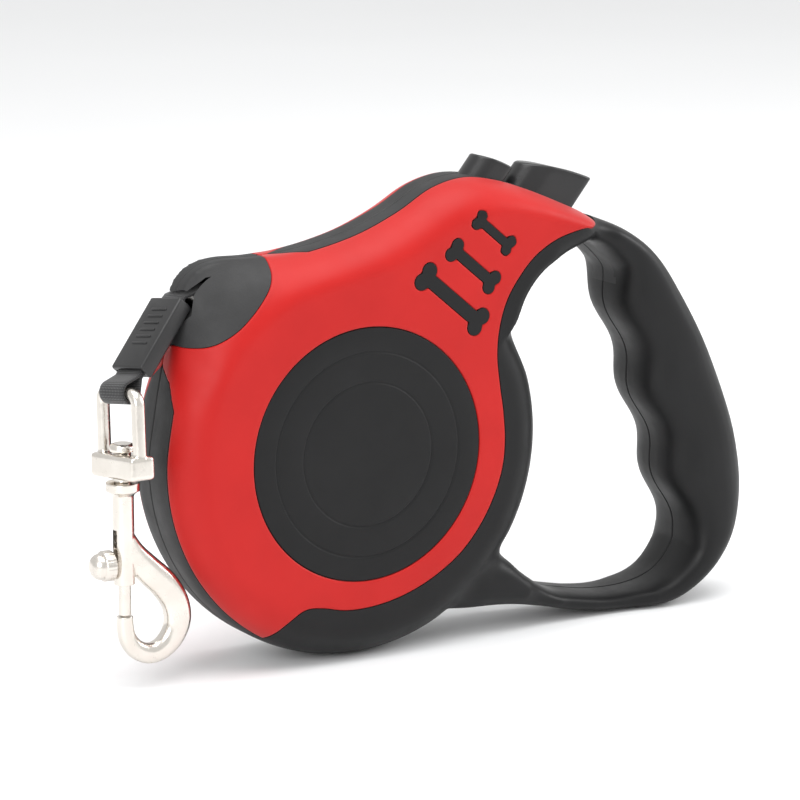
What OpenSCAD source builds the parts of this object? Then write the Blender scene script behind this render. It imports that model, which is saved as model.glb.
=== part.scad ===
// Retractable tape leash: clam-shell casing with a closed hand loop, sprung spool, brake, lock and snap hook.
// Millimetres. +X runs from the tape mouth to the hand loop, +Z is up, Y runs across the casing.
// The casing stands on its belly and on the foot of the hand loop at z = 0.

/* [Casing] */
// Radius of the round body at the seam
body_r = 46.2; // [42:0.1:52]
// How far the round body's edge is rolled in before the flat side begins
edge_roll = 8.4; // [6:0.1:10]
// Half of the casing's thickness
half_t = 13.5; // [12.5:0.1:16]
// Half width of the flat strip along the seam
flat_w = 3; // [2:0.1:7]
// Gap between each half of the casing and the seam plane
seam_gap = 0.04; // [0.02:0.01:0.1]
// Thickness of the soft red skin
skin_t = 1.2; // [0.8:0.1:2]
// Gap round the red skin in its pocket
skin_gap = 0.06; // [0.03:0.01:0.15]
// Radius of the round side cap
cap_r = 28; // [24:0.1:32]
// Thickness of the side cap
cap_t = 1.2; // [0.8:0.1:1.6]
// Distance from the casing's middle to the spool axis
axis_back = 20.2; // [15:0.1:25]

/* [Spool] */
// Radius of the spool chamber
chamber_r = 38.6; // [37:0.1:40]
// Half depth of the spool chamber
chamber_h = 11.2; // [10:0.1:12]
// Radius of the winding core
core_r = 20; // [16:0.1:24]
// Radius over the ratchet teeth
ratchet_r = 36.8; // [34:0.1:38]
// Number of ratchet teeth
teeth = 24; // [12:1:36]
// Radius of the fixed arbor
arbor_r = 3; // [2.5:0.1:4]
// Radius of the full winding
winding_r = 31.9; // [28:0.1:34]

/* [Tape] */
// Width of the tape
tape_w = 8; // [6:0.5:12]
// Thickness of the tape
tape_t = 0.65; // [0.4:0.05:1.2]
// Radius of the guide pin in the nose
guide_r = 2; // [1.5:0.1:3]

/* [Buttons] */
// Lean of both buttons towards the hand loop
lean = 39; // [20:1:50]
// Half length of the brake button
brake_l = 7.9; // [6:0.1:10]
// Half width of the brake button
brake_w = 5; // [4:0.1:7]
// Half length of the lock button
lock_l = 4.2; // [3:0.1:6]
// Half width of the lock button
lock_w = 4; // [3:0.1:5]

/* [Bumper and hook] */
// Width of the bumper
bumper_w = 10.1; // [8:0.1:14]
// Length of the bumper
bumper_l = 18.4; // [14:0.1:24]
// Thickness of the bumper
bumper_t = 3.8; // [3:0.1:6]
// Turn of the bumper about the upright
bumper_turn = 13.4; // [0:0.1:20]
// Sideways tilt of the bumper
bumper_tilt = 7.3; // [0:0.1:12]
// Slope of the bumper's front face from the upright
bumper_slope = 43.8; // [30:0.1:60]
// Distance between the side bars of the swivel ring
ring_w = 13.1; // [10:0.1:18]
// Radius of the hook's shank
shank_r = 2.3; // [2:0.1:3]
// Radius of the sliding bolt
bolt_r = 1.35; // [1:0.05:1.6]

/* [Hidden] */
lift = body_r;
black = [0.06, 0.06, 0.065];
red = [0.72, 0.07, 0.07];
nickel = [0.78, 0.75, 0.7];
nylon = [0.82, 0.8, 0.74];
steel = [0.6, 0.61, 0.63];

// ---------- curves ----------

// One value on a smooth curve between b and c
function knot(a, b, c, d, t) =
    0.5 * (2 * b + (c - a) * t + (2 * a - 5 * b + 4 * c - d) * t * t + (3 * b - a - 3 * c + d) * t * t * t);

// A closed smooth curve through the given points, n steps to each span
function loop_curve(p, n) = [
    for (i = [0 : len(p) - 1], j = [0 : n - 1])
        knot(p[(i + len(p) - 1) % len(p)], p[i], p[(i + 1) % len(p)], p[(i + 2) % len(p)], j / n)
];

// An open smooth curve through the given points
function open_curve(p, n) = concat([
    for (i = [0 : len(p) - 2], j = [0 : n - 1])
        knot(p[max(i - 1, 0)], p[i], p[i + 1], p[min(i + 2, len(p) - 1)], j / n)
], [p[len(p) - 1]]);

// Unit normal to the left of the way from a to b
function left_of(a, b) = let (d = b - a) [-d[1], d[0]] / norm(d);

// A closed curve moved inward by d
function inset(p, d) = [
    for (i = [0 : len(p) - 1])
        p[i] + left_of(p[(i + len(p) - 1) % len(p)], p[(i + 1) % len(p)]) * d
];

// A solid through a row of rings of equal length, closed flat at both ends
module loft(rings) {
    n = len(rings[0]);
    m = len(rings);
    polyhedron(
        points = [for (r = rings) each r],
        faces = concat(
            [[for (i = [n - 1 : -1 : 0]) i]],
            [for (k = [0 : m - 2], i = [0 : n - 1], h = [0, 1])
                let (a = k * n + i, b = k * n + (i + 1) % n)
                h == 0 ? [a, b, a + n] : [b, b + n, a + n]],
            [[for (i = [0 : n - 1]) (m - 1) * n + i]]),
        convexity = 8);
}

// Draws a flat shape of the XZ plane between two Y positions
module slab(y0, y1) {
    translate([0, y1, 0])
        rotate([90, 0, 0])
            linear_extrude(y1 - y0)
                children();
}

// A cylinder along Y
module rod(r, y0, y1, x = 0, z = 0, f = 48) {
    translate([x, y1, z])
        rotate([90, 0, 0])
            cylinder(h = y1 - y0, r = r, $fn = f);
}

// ---------- casing outline ----------

// Outline at the seam (x, z), the matching outline of the flat side (x, z) and the fullness of the roll
// between them, all about the spool axis
round_part = [
    for (a = [165 : 15 : 390])
        [body_r * cos(a), body_r * sin(a), (body_r - edge_roll) * cos(a), (body_r - edge_roll) * sin(a), 1]
];
shoulder_part = [
    [41.3, 28.6, 36.4, 24.2, 0.86], [44.6, 34, 38.6, 30, 0.86], [49.4, 37.5, 42.6, 35.6, 0.86],
    [55.2, 39.8, 48.4, 39.4, 0.86], [60.4, 41.6, 54, 41.6, 0.86], [62.6, 44, 58.6, 43.4, 0.86],
    [60, 46.9, 56.4, 44.8, 0.86], [54, 49.8, 51.2, 46.6, 0.86], [45.4, 53.4, 43.6, 48.6, 0.86],
    [36.6, 56.3, 35.8, 49.8, 0.86], [28.4, 57.4, 29, 49.7, 0.86], [20.4, 55.6, 22.6, 47.8, 0.86],
    [12.4, 51.2, 14.8, 43.8, 0.86], [3.6, 47.5, 6.2, 40.2, 0.82], [-5, 45.2, -2.6, 38.3, 0.76],
    [-14, 43.8, -10.8, 36.4, 0.68]
];
nose_part = [
    [-22.4, 43.4, -17.6, 34.4, 0.55], [-29.6, 43.5, -22.8, 31.2, 0.47], [-34.6, 42.4, -26.4, 28.4, 0.45],
    [-38, 39.8, -29.4, 25.6, 0.44], [-39.9, 36, -31.6, 22.8, 0.44], [-41, 31.6, -33.2, 20.4, 0.46],
    [-41.9, 26.4, -34.6, 17.6, 0.52], [-43.2, 19.6, -35.6, 14.2, 0.75]
];
casing_curve = loop_curve(concat(round_part, shoulder_part, nose_part), 2);
seam_line = [for (p = casing_curve) [p[0], p[1]]];
side_line = [for (p = casing_curve) [p[2], p[3]]];

// Hand loop stations: outer (x, z), inner (x, z) and half width, from the shoulder round to the belly
function grip_in(z) = 66.7 + (35.8 - z) / 3 - 1.25 * cos(360 * (z - 4) / 20.3);
grip_part = [
    [76.6, 38.7, 33.2], [81.6, 33.7, 28.6], [86, 27.5, 23.2], [90.2, 20.6, 17.2], [94.2, 13.2, 10.6],
    [97.8, 5.4, 3.6], [100.9, -3, -3.6], [103.1, -11.4, -10.6], [104.1, -19.2, -17.2],
    [103.2, -26.8, -23.2], [100.6, -33.4, -28.4], [96, -39, -32.6]
];
loop_ctrl = concat(
    [[46, 50, 44, 43, 9], [57.6, 47.6, 55.2, 41.2, 10.4], [64.6, 45.3, 61.2, 40.3, 10.8],
     [70.8, 42.6, 65, 37.6, 10.8]],
    [for (g = grip_part) [g[0], g[1], grip_in(g[2]), g[2], 11]],
    [[90.2, -43.4, 85.6, -37.6, 10.4], [83.6, -46, 81, -40.4, 10], [75, -46.13, 74.4, -41.7, 9.6],
     [66.4, -45.95, 66.2, -41.6, 9.4], [57.6, -44.6, 58.6, -40.4, 9.6], [49.6, -42.6, 51, -38.3, 10],
     [42.4, -41.2, 43.6, -33.2, 10.6], [35, -40.6, 38.6, -28.5, 11.1], [25, -40.6, 30, -23, 11.4]]);
loop_line = open_curve(loop_ctrl, 2);

// Inner point of a station, with the finger scallops kept between the given stations
function loop_inner(p) = (p[2] > 66 && p[3] < 34 && p[3] > -33) ? [grip_in(p[3]), p[3]] : [p[2], p[3]];

// ---------- frames ----------

// Axes of a hanging piece: down its length, across it towards -Y, and out of its front
function hang(turn, tilt, slope) =
    let (w = [sin(turn) * cos(tilt), -cos(turn) * cos(tilt), sin(tilt)],
        h = [-cos(turn), -sin(turn), 0],
        v = cross(w, h))
    [v * cos(slope) + h * sin(slope), w, h * cos(slope) - v * sin(slope)];

module place(at, f) {
    multmatrix([
        [f[0][0], f[1][0], f[2][0], at[0]],
        [f[0][1], f[1][1], f[2][1], at[1]],
        [f[0][2], f[1][2], f[2][2], at[2]],
        [0, 0, 0, 1]])
        children();
}

bumper_at = [-41.6, 0, 36.4];
bumper_axes = hang(bumper_turn, bumper_tilt, bumper_slope);
bar_at = bumper_at + bumper_axes[0] * (bumper_l + 5) - bumper_axes[2] * bumper_t / 2;
ring_axes = hang(8, 5, 2);
ring_bar_r = 1.4;
ring_bottom = 18.1;
block_h = 5.1;
block_mid = bar_at + ring_axes[0] * (ring_bottom - block_h / 2);
hook_at = [block_mid[0], block_mid[1], 0];
guide_at = [-33.6, 35.6];
brake_at = [49.2, 0, 50.5];
lock_at = [34.4, 0, 54.9];
brake_travel = 3.2;
screw_at = [[94.6, -19], [79.8, 23], [-33.1, -23.3], [33.1, -23.3], [15, 45]];
shelf_depth = 18;
lug_r = 17.1;

// Frame of a button: local Z along its travel, local X towards the hand loop
module at_button(p) {
    translate(p)
        rotate([0, lean, 0])
            children();
}

// ---------- casing ----------

module casing_half(s, in = 0) {
    top = half_t - in;
    a = inset(seam_line, in);
    b = inset(side_line, in * 0.2);
    loft([
        for (k = [0 : 6])
            let (t = 90 - 18 * min(k, 5), y = k == 6 ? 0 : flat_w + (top - flat_w) * sin(t))
            [for (i = [0 : len(a) - 1])
                let (j = s < 0 ? i : len(a) - 1 - i, c = pow(1 - cos(t), casing_curve[j][4]))
                [a[j][0] * (1 - c) + b[j][0] * c, s * y, a[j][1] * (1 - c) + b[j][1] * c]]
    ]);
}

module loop_half(s) {
    loft([
        for (p = loop_line)
            let (o = [p[0], p[1]], q = loop_inner(p), m = (o + q) / 2, h = (o - q) / 2, e = 0.72)
            [for (k = [0 : 12])
                let (a = s < 0 ? 180 - 15 * k : 15 * k,
                    u = sign(cos(a)) * pow(abs(cos(a)), e), v = pow(abs(sin(a)), e))
                [m[0] + h[0] * u, s * p[4] * v, m[1] + h[1] * u]]
    ]);
}

// One bone: two pairs of lobes joined by a bar, lying along the shoulder's slope
module bone(x, z, len, lobe, bar) {
    translate([x, z])
        rotate(-40) {
            square([len - lobe * 0.7, bar], center = true);
            for (i = [-1, 1], j = [-1, 1])
                translate([i * (len - lobe) / 2, j * lobe * 0.42])
                    circle(r = lobe / 2, $fn = 20);
        }
}

module bones() {
    bone(20.9, 32.2, 21, 3.6, 3);
    bone(26.2, 39, 15.4, 3, 2.4);
    bone(31.5, 45.9, 12.2, 2.5, 1.9);
}

// The side's red area: everything forward of a curve round the belly, neck and shoulder
red_edge = open_curve([
    [66, 46.8], [58.9, 45.3], [53.5, 44.6], [47.5, 42.9], [42.1, 39.7], [38, 35.3], [35, 30.6],
    [33.2, 25], [32.6, 18.6], [33.4, 11.5], [34.3, 5.5], [34.7, -1], [34, -7], [31.9, -13],
    [28.6, -18.8], [24.2, -24], [19, -27.9], [13, -31], [6.6, -33.1], [0, -34.1], [-6, -34],
    [-11.4, -32.8], [-15.6, -32.6], [-19, -34.4], [-21.6, -37.2], [-26, -44]
], 2);
nose_edge = open_curve([
    [-60, 25], [-44.6, 26.8], [-40, 26.3], [-36, 27], [-31.4, 29.6], [-28.1, 32.3], [-24.6, 35.7],
    [-21.8, 38.9], [-20.2, 42], [-19.8, 46], [-22, 60]
], 2);

module red_area() {
    difference() {
        polygon(concat(red_edge, [[-60, -44], [-60, 70], [66, 70]]));
        polygon(concat(nose_edge, [[-60, 60]]));
        bones();
    }
}

// Black strips along the seam, wrapping over it by the given extra
module seam_strips(extra) {
    translate([0, 0, 30])
        linear_extrude(60)
            offset(delta = extra)
                polygon([[-17.5, 0], [-10, -4.5], [90, -4.5], [90, 4.5], [-10, 4.5]]);
    translate([-5, 0, 0])
        rotate([0, -90, 0])
            linear_extrude(60)
                offset(delta = extra)
                    polygon([[-80, -7], [13, -7], [18.6, -4], [21.6, 0], [18.6, 4], [13, 7], [-80, 7]]);
}

module red_layer(s, over, thick, gap) {
    intersection() {
        difference() {
            casing_half(s, -over);
            casing_half(s, thick);
            seam_strips(gap);
        }
        slab(-20, 20)
            offset(delta = -gap)
                red_area();
    }
}

module cavity() {
    slab(-8.6, 8.6)
        intersection() {
            offset(delta = -4)
                polygon(seam_line);
            union() {
                circle(r = 42.4, $fn = 72);
                translate([-14, 20])
                    square([72, 45]);
            }
        }
    slab(-6.4, 6.4)
        offset(delta = -3.4)
            polygon(concat([for (p = loop_line) [p[0], p[1]]],
                [for (i = [len(loop_line) - 1 : -1 : 0]) loop_inner(loop_line[i])]));
    slab(-4.6, 4.6)
        polygon([[12, 37.5], [-12, 40.4], [-28, 41.4], [-34.4, 40.5], [-37.4, 38.6], [-39.6, 37], [-39.8, 35],
            [-36.6, 33.4], [-33.2, 32.4], [-24, 28], [0, 20]]);
}

// Keeps what lies above a floor that slopes with the shoulder, in a button's frame
module above_floor(depth) {
    difference() {
        children();
        translate([0, 0, -depth])
            rotate([0, -23.4, 0])
                translate([-25, -12, -30])
                    cube([50, 24, 30]);
    }
}

module button_holes() {
    at_button(brake_at) {
        above_floor(7.8)
            translate([0, 0, -14])
                linear_extrude(35)
                    button_shape(brake_l + 0.35, brake_w + 0.35);
        translate([0, 0, -shelf_depth])
            cylinder(h = shelf_depth, r = 4.6, $fn = 40);
    }
    at_button(lock_at)
        translate([0, 0, -7.8])
            linear_extrude(32)
                button_shape(lock_l + 0.3, lock_w + 0.3);
}

module mouth() {
    place(bumper_at, bumper_axes)
        translate([-2.2, -bumper_w / 2 - 0.45, -bumper_t - 0.45])
            cube([50, bumper_w + 0.9, 40]);
}

// Cross wall under the buttons that carries their springs and guides their stems
module shelf(s) {
    intersection() {
        at_button(brake_at)
            translate([-26, -9, -shelf_depth - 2])
                cube([36, 18, 2]);
        slab(-8.8, 8.8)
            offset(delta = -3.8)
                polygon(seam_line);
        translate([-50, s < 0 ? -20 : 0, -60])
            cube([200, 20, 140]);
    }
}

// Everything of one half that is bounded by free curves
module shell_skin(s) {
    resize([0, 0, 0])
        union() {
            difference() {
                union() {
                    casing_half(s);
                    loop_half(s);
                }
                cavity();
                rod(chamber_r, -chamber_h, chamber_h, f = 96);
                red_layer(s, 0.6, skin_t + skin_gap, 0);
                button_holes();
                mouth();
            }
            shelf(s);
        }
}

// Rod standing off one side of the seam: from depth a to depth b
module side_rod(s, r, a, b, x = 0, z = 0) {
    rod(r, min(s * a, s * b), max(s * a, s * b), x, z);
}

module shell(s) {
    difference() {
        union() {
            shell_skin(s);
            for (p = screw_at)
                side_rod(s, s < 0 ? 2.4 : 2.85, 0, 9.2, p[0], p[1]);
            side_rod(s, 6, 9.7, chamber_h + 0.4);
        }
        side_rod(s, arbor_r + 0.02, 9, 12);
        side_rod(s, guide_r + 0.02, 4, 5.75, guide_at[0], guide_at[1]);
        for (p = screw_at) {
            if (s < 0)
                side_rod(s, 1.2, -1, 8.4, p[0], p[1]);
            if (s > 0)
                side_rod(s, 1.35, -1, 20, p[0], p[1]);
            if (s > 0)
                side_rod(s, 2.3, 5.6, 20, p[0], p[1]);
        }
        at_button(brake_at) {
            translate([0, 0, -shelf_depth - 4])
                cylinder(h = 6, r = 2.75, $fn = 40);
            translate([0, 0, -shelf_depth - 7.2])
                cylinder(h = 5.19, r = 3.9, $fn = 40);
        }
        at_button(lock_at)
            translate([0, 0, -shelf_depth + 1])
                cylinder(h = 8, r = 1.75, $fn = 32);
        translate([-80, -seam_gap, -80])
            cube([220, 2 * seam_gap, 180]);
    }
}

module skin(s) {
    resize([0, 0, 0])
        difference() {
            red_layer(s, 0, skin_t, skin_gap);
            button_holes();
            rod(cap_r + 0.1, -20, 20, f = 96);
            translate([-80, -seam_gap, -80])
                cube([220, 2 * seam_gap, 180]);
            if (s > 0)
                for (p = screw_at)
                    rod(2.9, 0, 20, p[0], p[1], 24);
        }
}

// Side cap with two fine rings turned in its face
module cap(s) {
    face = half_t - 0.05;
    back = half_t - skin_t - skin_gap + 0.01;
    difference() {
        side_rod(s, cap_r, back, face);
        for (r = [15.9, 22.6])
            difference() {
                side_rod(s, r + 0.2, face - 0.3, face + 1);
                side_rod(s, r - 0.2, face - 1, face + 2);
            }
    }
}

module casing_screws() {
    for (p = screw_at)
        difference() {
            union() {
                rod(1.15, -8, 5.7, p[0], p[1], 24);
                rod(2.2, 5.65, 7.2, p[0], p[1], 32);
            }
            translate([p[0], 6.9, p[1]])
                for (a = [0, 90])
                    rotate([0, a, 0])
                        cube([2.6, 1.2, 0.6], center = true);
        }
}

module arbor() {
    difference() {
        rod(arbor_r, -11.9, 11.9);
        cube([0.7, 15, 8], center = true);
    }
}

module guide_pin() {
    rod(guide_r, -5.7, 5.7, guide_at[0], guide_at[1]);
}

// ---------- spool ----------

module ratchet(y0, y1) {
    start = 30.1;
    pitch = 360 / teeth;
    root = 33.4;
    slab(y0, y1)
        polygon([
            for (i = [0 : teeth - 1], k = [0 : 3])
                let (a = start + i * pitch + [0, pitch * 0.42, pitch * 0.48, pitch * 0.97][k],
                    r = k < 2 ? ratchet_r : root)
                [r * cos(a), r * sin(a)]
        ]);
}

module spool_core() {
    difference() {
        union() {
            difference() {
                union() {
                    ratchet(-5.9, -4.6);
                    rod(core_r, -9.2, 9.2, f = 72);
                }
                rod(core_r - 1.6, -8.2, 10, f = 72);
            }
            for (a = [0 : 120 : 240])
                rod(1.5, 3.5, 8, lug_r * cos(a), lug_r * sin(a), 24);
        }
        for (a = [0 : 120 : 240])
            rod(0.72, 3, 9, lug_r * cos(a), lug_r * sin(a), 24);
        rod(arbor_r + 0.06, -12, 12);
    }
}

module spool_flange() {
    difference() {
        ratchet(4.6, 5.9);
        rod(core_r + 0.02, 0, 10, f = 72);
    }
}

module spring_cover() {
    difference() {
        rod(core_r - 1.65, 8.1, 9.2, f = 72);
        rod(arbor_r + 0.06, 0, 12);
        for (a = [0 : 120 : 240])
            rod(0.85, 0, 12, lug_r * cos(a), lug_r * sin(a), 24);
    }
}

module cover_screws() {
    for (a = [0 : 120 : 240]) {
        rod(0.7, 3.8, 9.3, lug_r * cos(a), lug_r * sin(a), 24);
        rod(1.3, 9.22, 9.9, lug_r * cos(a), lug_r * sin(a), 24);
    }
}

// Spiral mainspring: inner tail in the arbor's slot, outer end at the core wall
module power_spring() {
    turns = 9;
    step = 18;
    t = 0.35;
    spiral = [for (a = [0 : step : 360 * turns]) [3.7 + 10.8 * a / (360 * turns), a + 90]];
    slab(-7, 7)
        union() {
            polygon(concat(
                [for (p = spiral) [(p[0] + t) * cos(p[1]), (p[0] + t) * sin(p[1])]],
                [for (i = [len(spiral) - 1 : -1 : 0])
                    [spiral[i][0] * cos(spiral[i][1]), spiral[i][0] * sin(spiral[i][1])]]));
            translate([-t / 2, -2])
                square([t, 5.95]);
        }
}

module tape_winding() {
    difference() {
        rod(winding_r, -tape_w / 2, tape_w / 2, f = 96);
        rod(core_r + 0.03, -10, 10, f = 96);
    }
}

// ---------- tape between the winding and the bumper ----------

// A ribbon along stations of [point, across direction]
module ribbon(st, w, t) {
    n = len(st);
    loft([
        for (i = [0 : n - 1])
            let (p = st[i][0], u = st[i][1] / norm(st[i][1]),
                d = st[max(i - 1, 0)][0] - st[min(i + 1, n - 1)][0],
                c = cross(d, u), m = c / norm(c))
            [p + u * w / 2 + m * t / 2, p - u * w / 2 + m * t / 2,
             p - u * w / 2 - m * t / 2, p + u * w / 2 - m * t / 2]
    ]);
}

module tape_run() {
    wr = winding_r + tape_t / 2 + 0.3;
    gr = guide_r + tape_t / 2 + 0.06;
    off = atan2(guide_at[1], guide_at[0]) - acos((wr - gr) / norm(guide_at));
    over = [for (a = [off : 9 : 110]) [guide_at[0] + gr * cos(a), 0, guide_at[1] + gr * sin(a)]];
    mid = bumper_at - bumper_axes[2] * bumper_t / 2;
    ribbon(concat(
        [for (a = [off - 16 : 8 : off]) [[wr * cos(a), 0, wr * sin(a)], [0, -1, 0]]],
        [for (p = over) [p, [0, -1, 0]]],
        [[mid - bumper_axes[0] * 1.6, [0, -1, 0] + bumper_axes[1]], [mid + bumper_axes[0] * 1.2, bumper_axes[1]],
         [mid + bumper_axes[0] * 4, bumper_axes[1]]]
    ), tape_w, tape_t);
}

// ---------- buttons ----------

module button_shape(l, w) {
    offset(r = 1.2, $fn = 24)
        offset(delta = -1.2)
            polygon([[l, -w], [l, w], [-l * 0.35, w], [-l * 0.8, w * 0.72], [-l, w * 0.3],
                [-l, -w * 0.3], [-l * 0.8, -w * 0.72], [-l * 0.35, -w]]);
}

module brake_button() {
    at_button(brake_at) {
        difference() {
            above_floor(4)
                translate([0, 0, -10])
                    linear_extrude(25)
                        button_shape(brake_l, brake_w);
            translate([-24.1, 0, 62.2])
                rotate([90, 0, 0])
                    cylinder(h = 20, r = 60, center = true, $fn = 192);
        }
        translate([0, 0, -7])
            cylinder(h = 7, r = 4.2, $fn = 40);
        translate([0, 0, -28.5])
            cylinder(h = 22, r = 2.6, $fn = 40);
        translate([0, 0, -shelf_depth - 3.5])
            cylinder(h = 1.4, r = 3.6, $fn = 40);
    }
}

module brake_pawl() {
    at_button(brake_at)
        difference() {
            union() {
                translate([-1.5, -7, -33.1])
                    cube([3, 14, 4.2]);
                translate([-3.4, -3.4, -29])
                    cube([6.8, 6.8, 3.6]);
            }
            translate([0, 0, -28.52])
                cylinder(h = 5, r = 2.62, $fn = 40);
        }
}

module lock_button() {
    at_button(lock_at) {
        difference() {
            translate([0, 0, -4])
                linear_extrude(16)
                    button_shape(lock_l, lock_w);
            translate([-8.7, 0, 34.7])
                rotate([90, 0, 0])
                    cylinder(h = 20, r = 30, center = true, $fn = 128);
        }
        translate([0, 0, -22])
            cylinder(h = 18.5, r = 1.6, $fn = 32);
        translate([-1.6, -3, -23.5])
            cube([11.6, 6, 1.8]);
    }
}

// A coil spring along local Z
module coil(r, wire, turns, h) {
    step = 36;
    n = turns * 360 / step;
    loft([
        for (i = [0 : n])
            let (a = i * step, z = wire + (h - 2 * wire) * i / n)
            [for (k = [0 : 4])
                let (b = 72 * k)
                [(r + wire * cos(b)) * cos(a), (r + wire * cos(b)) * sin(a), z + wire * sin(b)]]
    ]);
}

module brake_spring() {
    at_button(brake_at)
        translate([0, 0, -shelf_depth + 0.05])
            coil(3.4, 0.4, 6, 10.8);
}

module lock_spring() {
    at_button(lock_at)
        translate([0, 0, -12.05])
            coil(2.3, 0.3, 5, 8);
}

// ---------- bumper, ring and hook ----------

module bumper() {
    place(bumper_at, bumper_axes) {
        difference() {
            translate([0, 0, -bumper_t])
                linear_extrude(bumper_t)
                    offset(r = 0.7, $fn = 24)
                        offset(delta = -0.7)
                            translate([0, -bumper_w / 2])
                                square([bumper_l, bumper_w]);
            translate([-1, -4.15, -2.7])
                cube([bumper_l + 2, 8.3, 1.6]);
            translate([9, 0, -bumper_t / 2])
                rotate([90, 0, 0])
                    cylinder(h = 20, r = 0.62, center = true, $fn = 24);
        }
        for (i = [0 : 5])
            translate([3 + 1.75 * i, -2.4, -0.2])
                cube([0.6, 4.8, 0.5]);
    }
}

module bumper_rivet() {
    place(bumper_at, bumper_axes)
        translate([9, 0, -bumper_t / 2])
            rotate([90, 0, 0])
                cylinder(h = bumper_w - 0.2, r = 0.6, center = true, $fn = 24);
}

// Folded and stitched end of the tape: a doubled tail in the bumper and an eye round the ring's bar
module tape_loop() {
    place(bumper_at, bumper_axes)
        difference() {
            union() {
                translate([5.5, -tape_w / 2, -bumper_t / 2 - 0.7])
                    cube([bumper_l - 2.6, tape_w, 1.4]);
                translate([bumper_l + 5, 0, -bumper_t / 2])
                    rotate([90, 0, 0])
                        cylinder(h = tape_w, r = 2.55, center = true, $fn = 48);
            }
            translate([bumper_l + 5, 0, -bumper_t / 2])
                rotate([90, 0, 0])
                    cylinder(h = 20, r = 1.9, center = true, $fn = 48);
            translate([9, 0, -bumper_t / 2])
                rotate([90, 0, 0])
                    cylinder(h = 20, r = 0.65, center = true, $fn = 24);
        }
}

module swivel_ring() {
    bend = 2.2;
    place(bar_at, ring_axes)
        difference() {
            union() {
                rotate([90, 0, 0])
                    cylinder(h = ring_w - 2 * bend, r = ring_bar_r, center = true, $fn = 32);
                for (s = [-1, 1]) {
                    translate([bend, s * (ring_w / 2 - bend), 0])
                        rotate([0, 0, s > 0 ? 90 : 180])
                            rotate_extrude(angle = 90, $fn = 64)
                                translate([bend, 0])
                                    circle(r = ring_bar_r, $fn = 24);
                    translate([bend, s * ring_w / 2, 0])
                        rotate([0, 90, 0])
                            cylinder(h = ring_bottom - bend - 1, r = ring_bar_r, $fn = 32);
                }
                translate([ring_bottom - block_h, 0, 0])
                    rotate([0, 90, 0])
                        linear_extrude(block_h)
                            offset(r = 1.2, $fn = 24)
                                square([3.6, ring_w + 0.4], center = true);
            }
            rotate([0, 90, 0])
                translate([0, 0, ring_bottom - block_h - 1])
                    cylinder(h = block_h + 2, r = 2.4, $fn = 40);
        }
}

hook_path = [
    [0.2, -12.5, 2.1, 2], [2.2, -16.4, 2.7, 2.1], [5.6, -20.3, 3.1, 2.2], [9.1, -23.8, 3.2, 2.3],
    [11.6, -27.8, 3.1, 2.3], [12.3, -32, 3, 2.3], [10.9, -35.6, 2.7, 2.2], [8.2, -38, 2.4, 2.1],
    [5.2, -38.5, 2.25, 2], [2.4, -37.2, 2.1, 1.9], [0.5, -34.6, 1.9, 1.8], [0, -31.8, 1.75, 1.7],
    [0, -29.65, 1.7, 1.65]
];

module hook_body() {
    translate(hook_at)
        difference() {
            union() {
                translate([0, 0, -0.9])
                    cylinder(h = 7.2, r = 1.8, $fn = 40);
                translate([0, 0, 5.9])
                    cylinder(h = 1.9, r = 2.9, $fn = 40);
                translate([0, 0, -2.5])
                    cylinder(h = 2.1, r = 3.65, $fn = 48);
                translate([0, 0, -22.7])
                    cylinder(h = 20.5, r = shank_r, $fn = 48);
                hook_bow();
            }
            translate([0, 0, -26])
                cylinder(h = 20, r = bolt_r + 0.05, $fn = 40);
            translate([-6, -1, -19.3])
                cube([6, 2, 8.6]);
            translate([0, 0, -28.9])
                cylinder(h = 6, r = 2.5, $fn = 40);
        }
}

// The curved bow, swept from the shank round to the tip
module hook_bow() {
    line = open_curve(hook_path, 3);
    n = len(line);
    loft([
        for (i = [0 : n - 1])
            let (p = line[i], q = line[min(i + 1, n - 1)], o = line[max(i - 1, 0)],
                d = [q[0] - o[0], q[1] - o[1]], u = i == n - 1 ? [1, 0] : [-d[1], d[0]] / norm(d))
            [for (k = [0 : 13])
                let (a = 360 * k / 14)
                [p[0] + u[0] * p[2] * cos(a), p[3] * sin(a), p[1] + u[1] * p[2] * cos(a)]]
    ]);
}

module thumb_bolt() {
    translate(hook_at) {
        translate([0, 0, -29.5])
            cylinder(h = 14.5, r = bolt_r, $fn = 40);
        translate([0, 0, -18.2])
            rotate([0, -90, 0]) {
                cylinder(h = 3.2, r = 0.85, $fn = 24);
                translate([0, 0, 2.8])
                    cylinder(h = 2.5, r = 3.3, $fn = 40);
                translate([0, 0, 5.2])
                    cylinder(h = 2.6, r1 = 3.1, r2 = 1.5, $fn = 40);
            }
    }
}

module bolt_spring() {
    translate(hook_at)
        translate([0, 0, -14.95])
            coil(0.95, 0.22, 5, 8.9);
}

// ---------- nodes ----------

module on_foot() {
    translate([-axis_back, 0, lift])
        children();
}

color(black) on_foot() shell(-1);  // left_shell
color(black) on_foot() shell(1);  // right_shell
color(red) on_foot() skin(-1);  // left_skin
color(red) on_foot() skin(1);  // right_skin
color(black) on_foot() cap(-1);  // left_cap
color(black) on_foot() cap(1);  // right_cap
color(steel) on_foot() arbor();
color(steel) on_foot() casing_screws();
color(steel) on_foot() guide_pin();
color(nylon) on_foot() spool_core();
color(nylon) on_foot() spool_flange();
color(nylon) on_foot() spring_cover();
color(steel) on_foot() cover_screws();
color(steel) on_foot() power_spring();
color(black) on_foot() tape_winding();
color(black) on_foot() tape_run();
color(black) on_foot() brake_button();
color(nylon) on_foot() brake_pawl();
color(steel) on_foot() brake_spring();
color(black) on_foot() lock_button();
color(steel) on_foot() lock_spring();
color(black) on_foot() bumper();
color(steel) on_foot() bumper_rivet();
color(black) on_foot() tape_loop();
color(nickel) on_foot() swivel_ring();
color(nickel) on_foot() hook_body();
color(nickel) on_foot() thumb_bolt();
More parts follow.
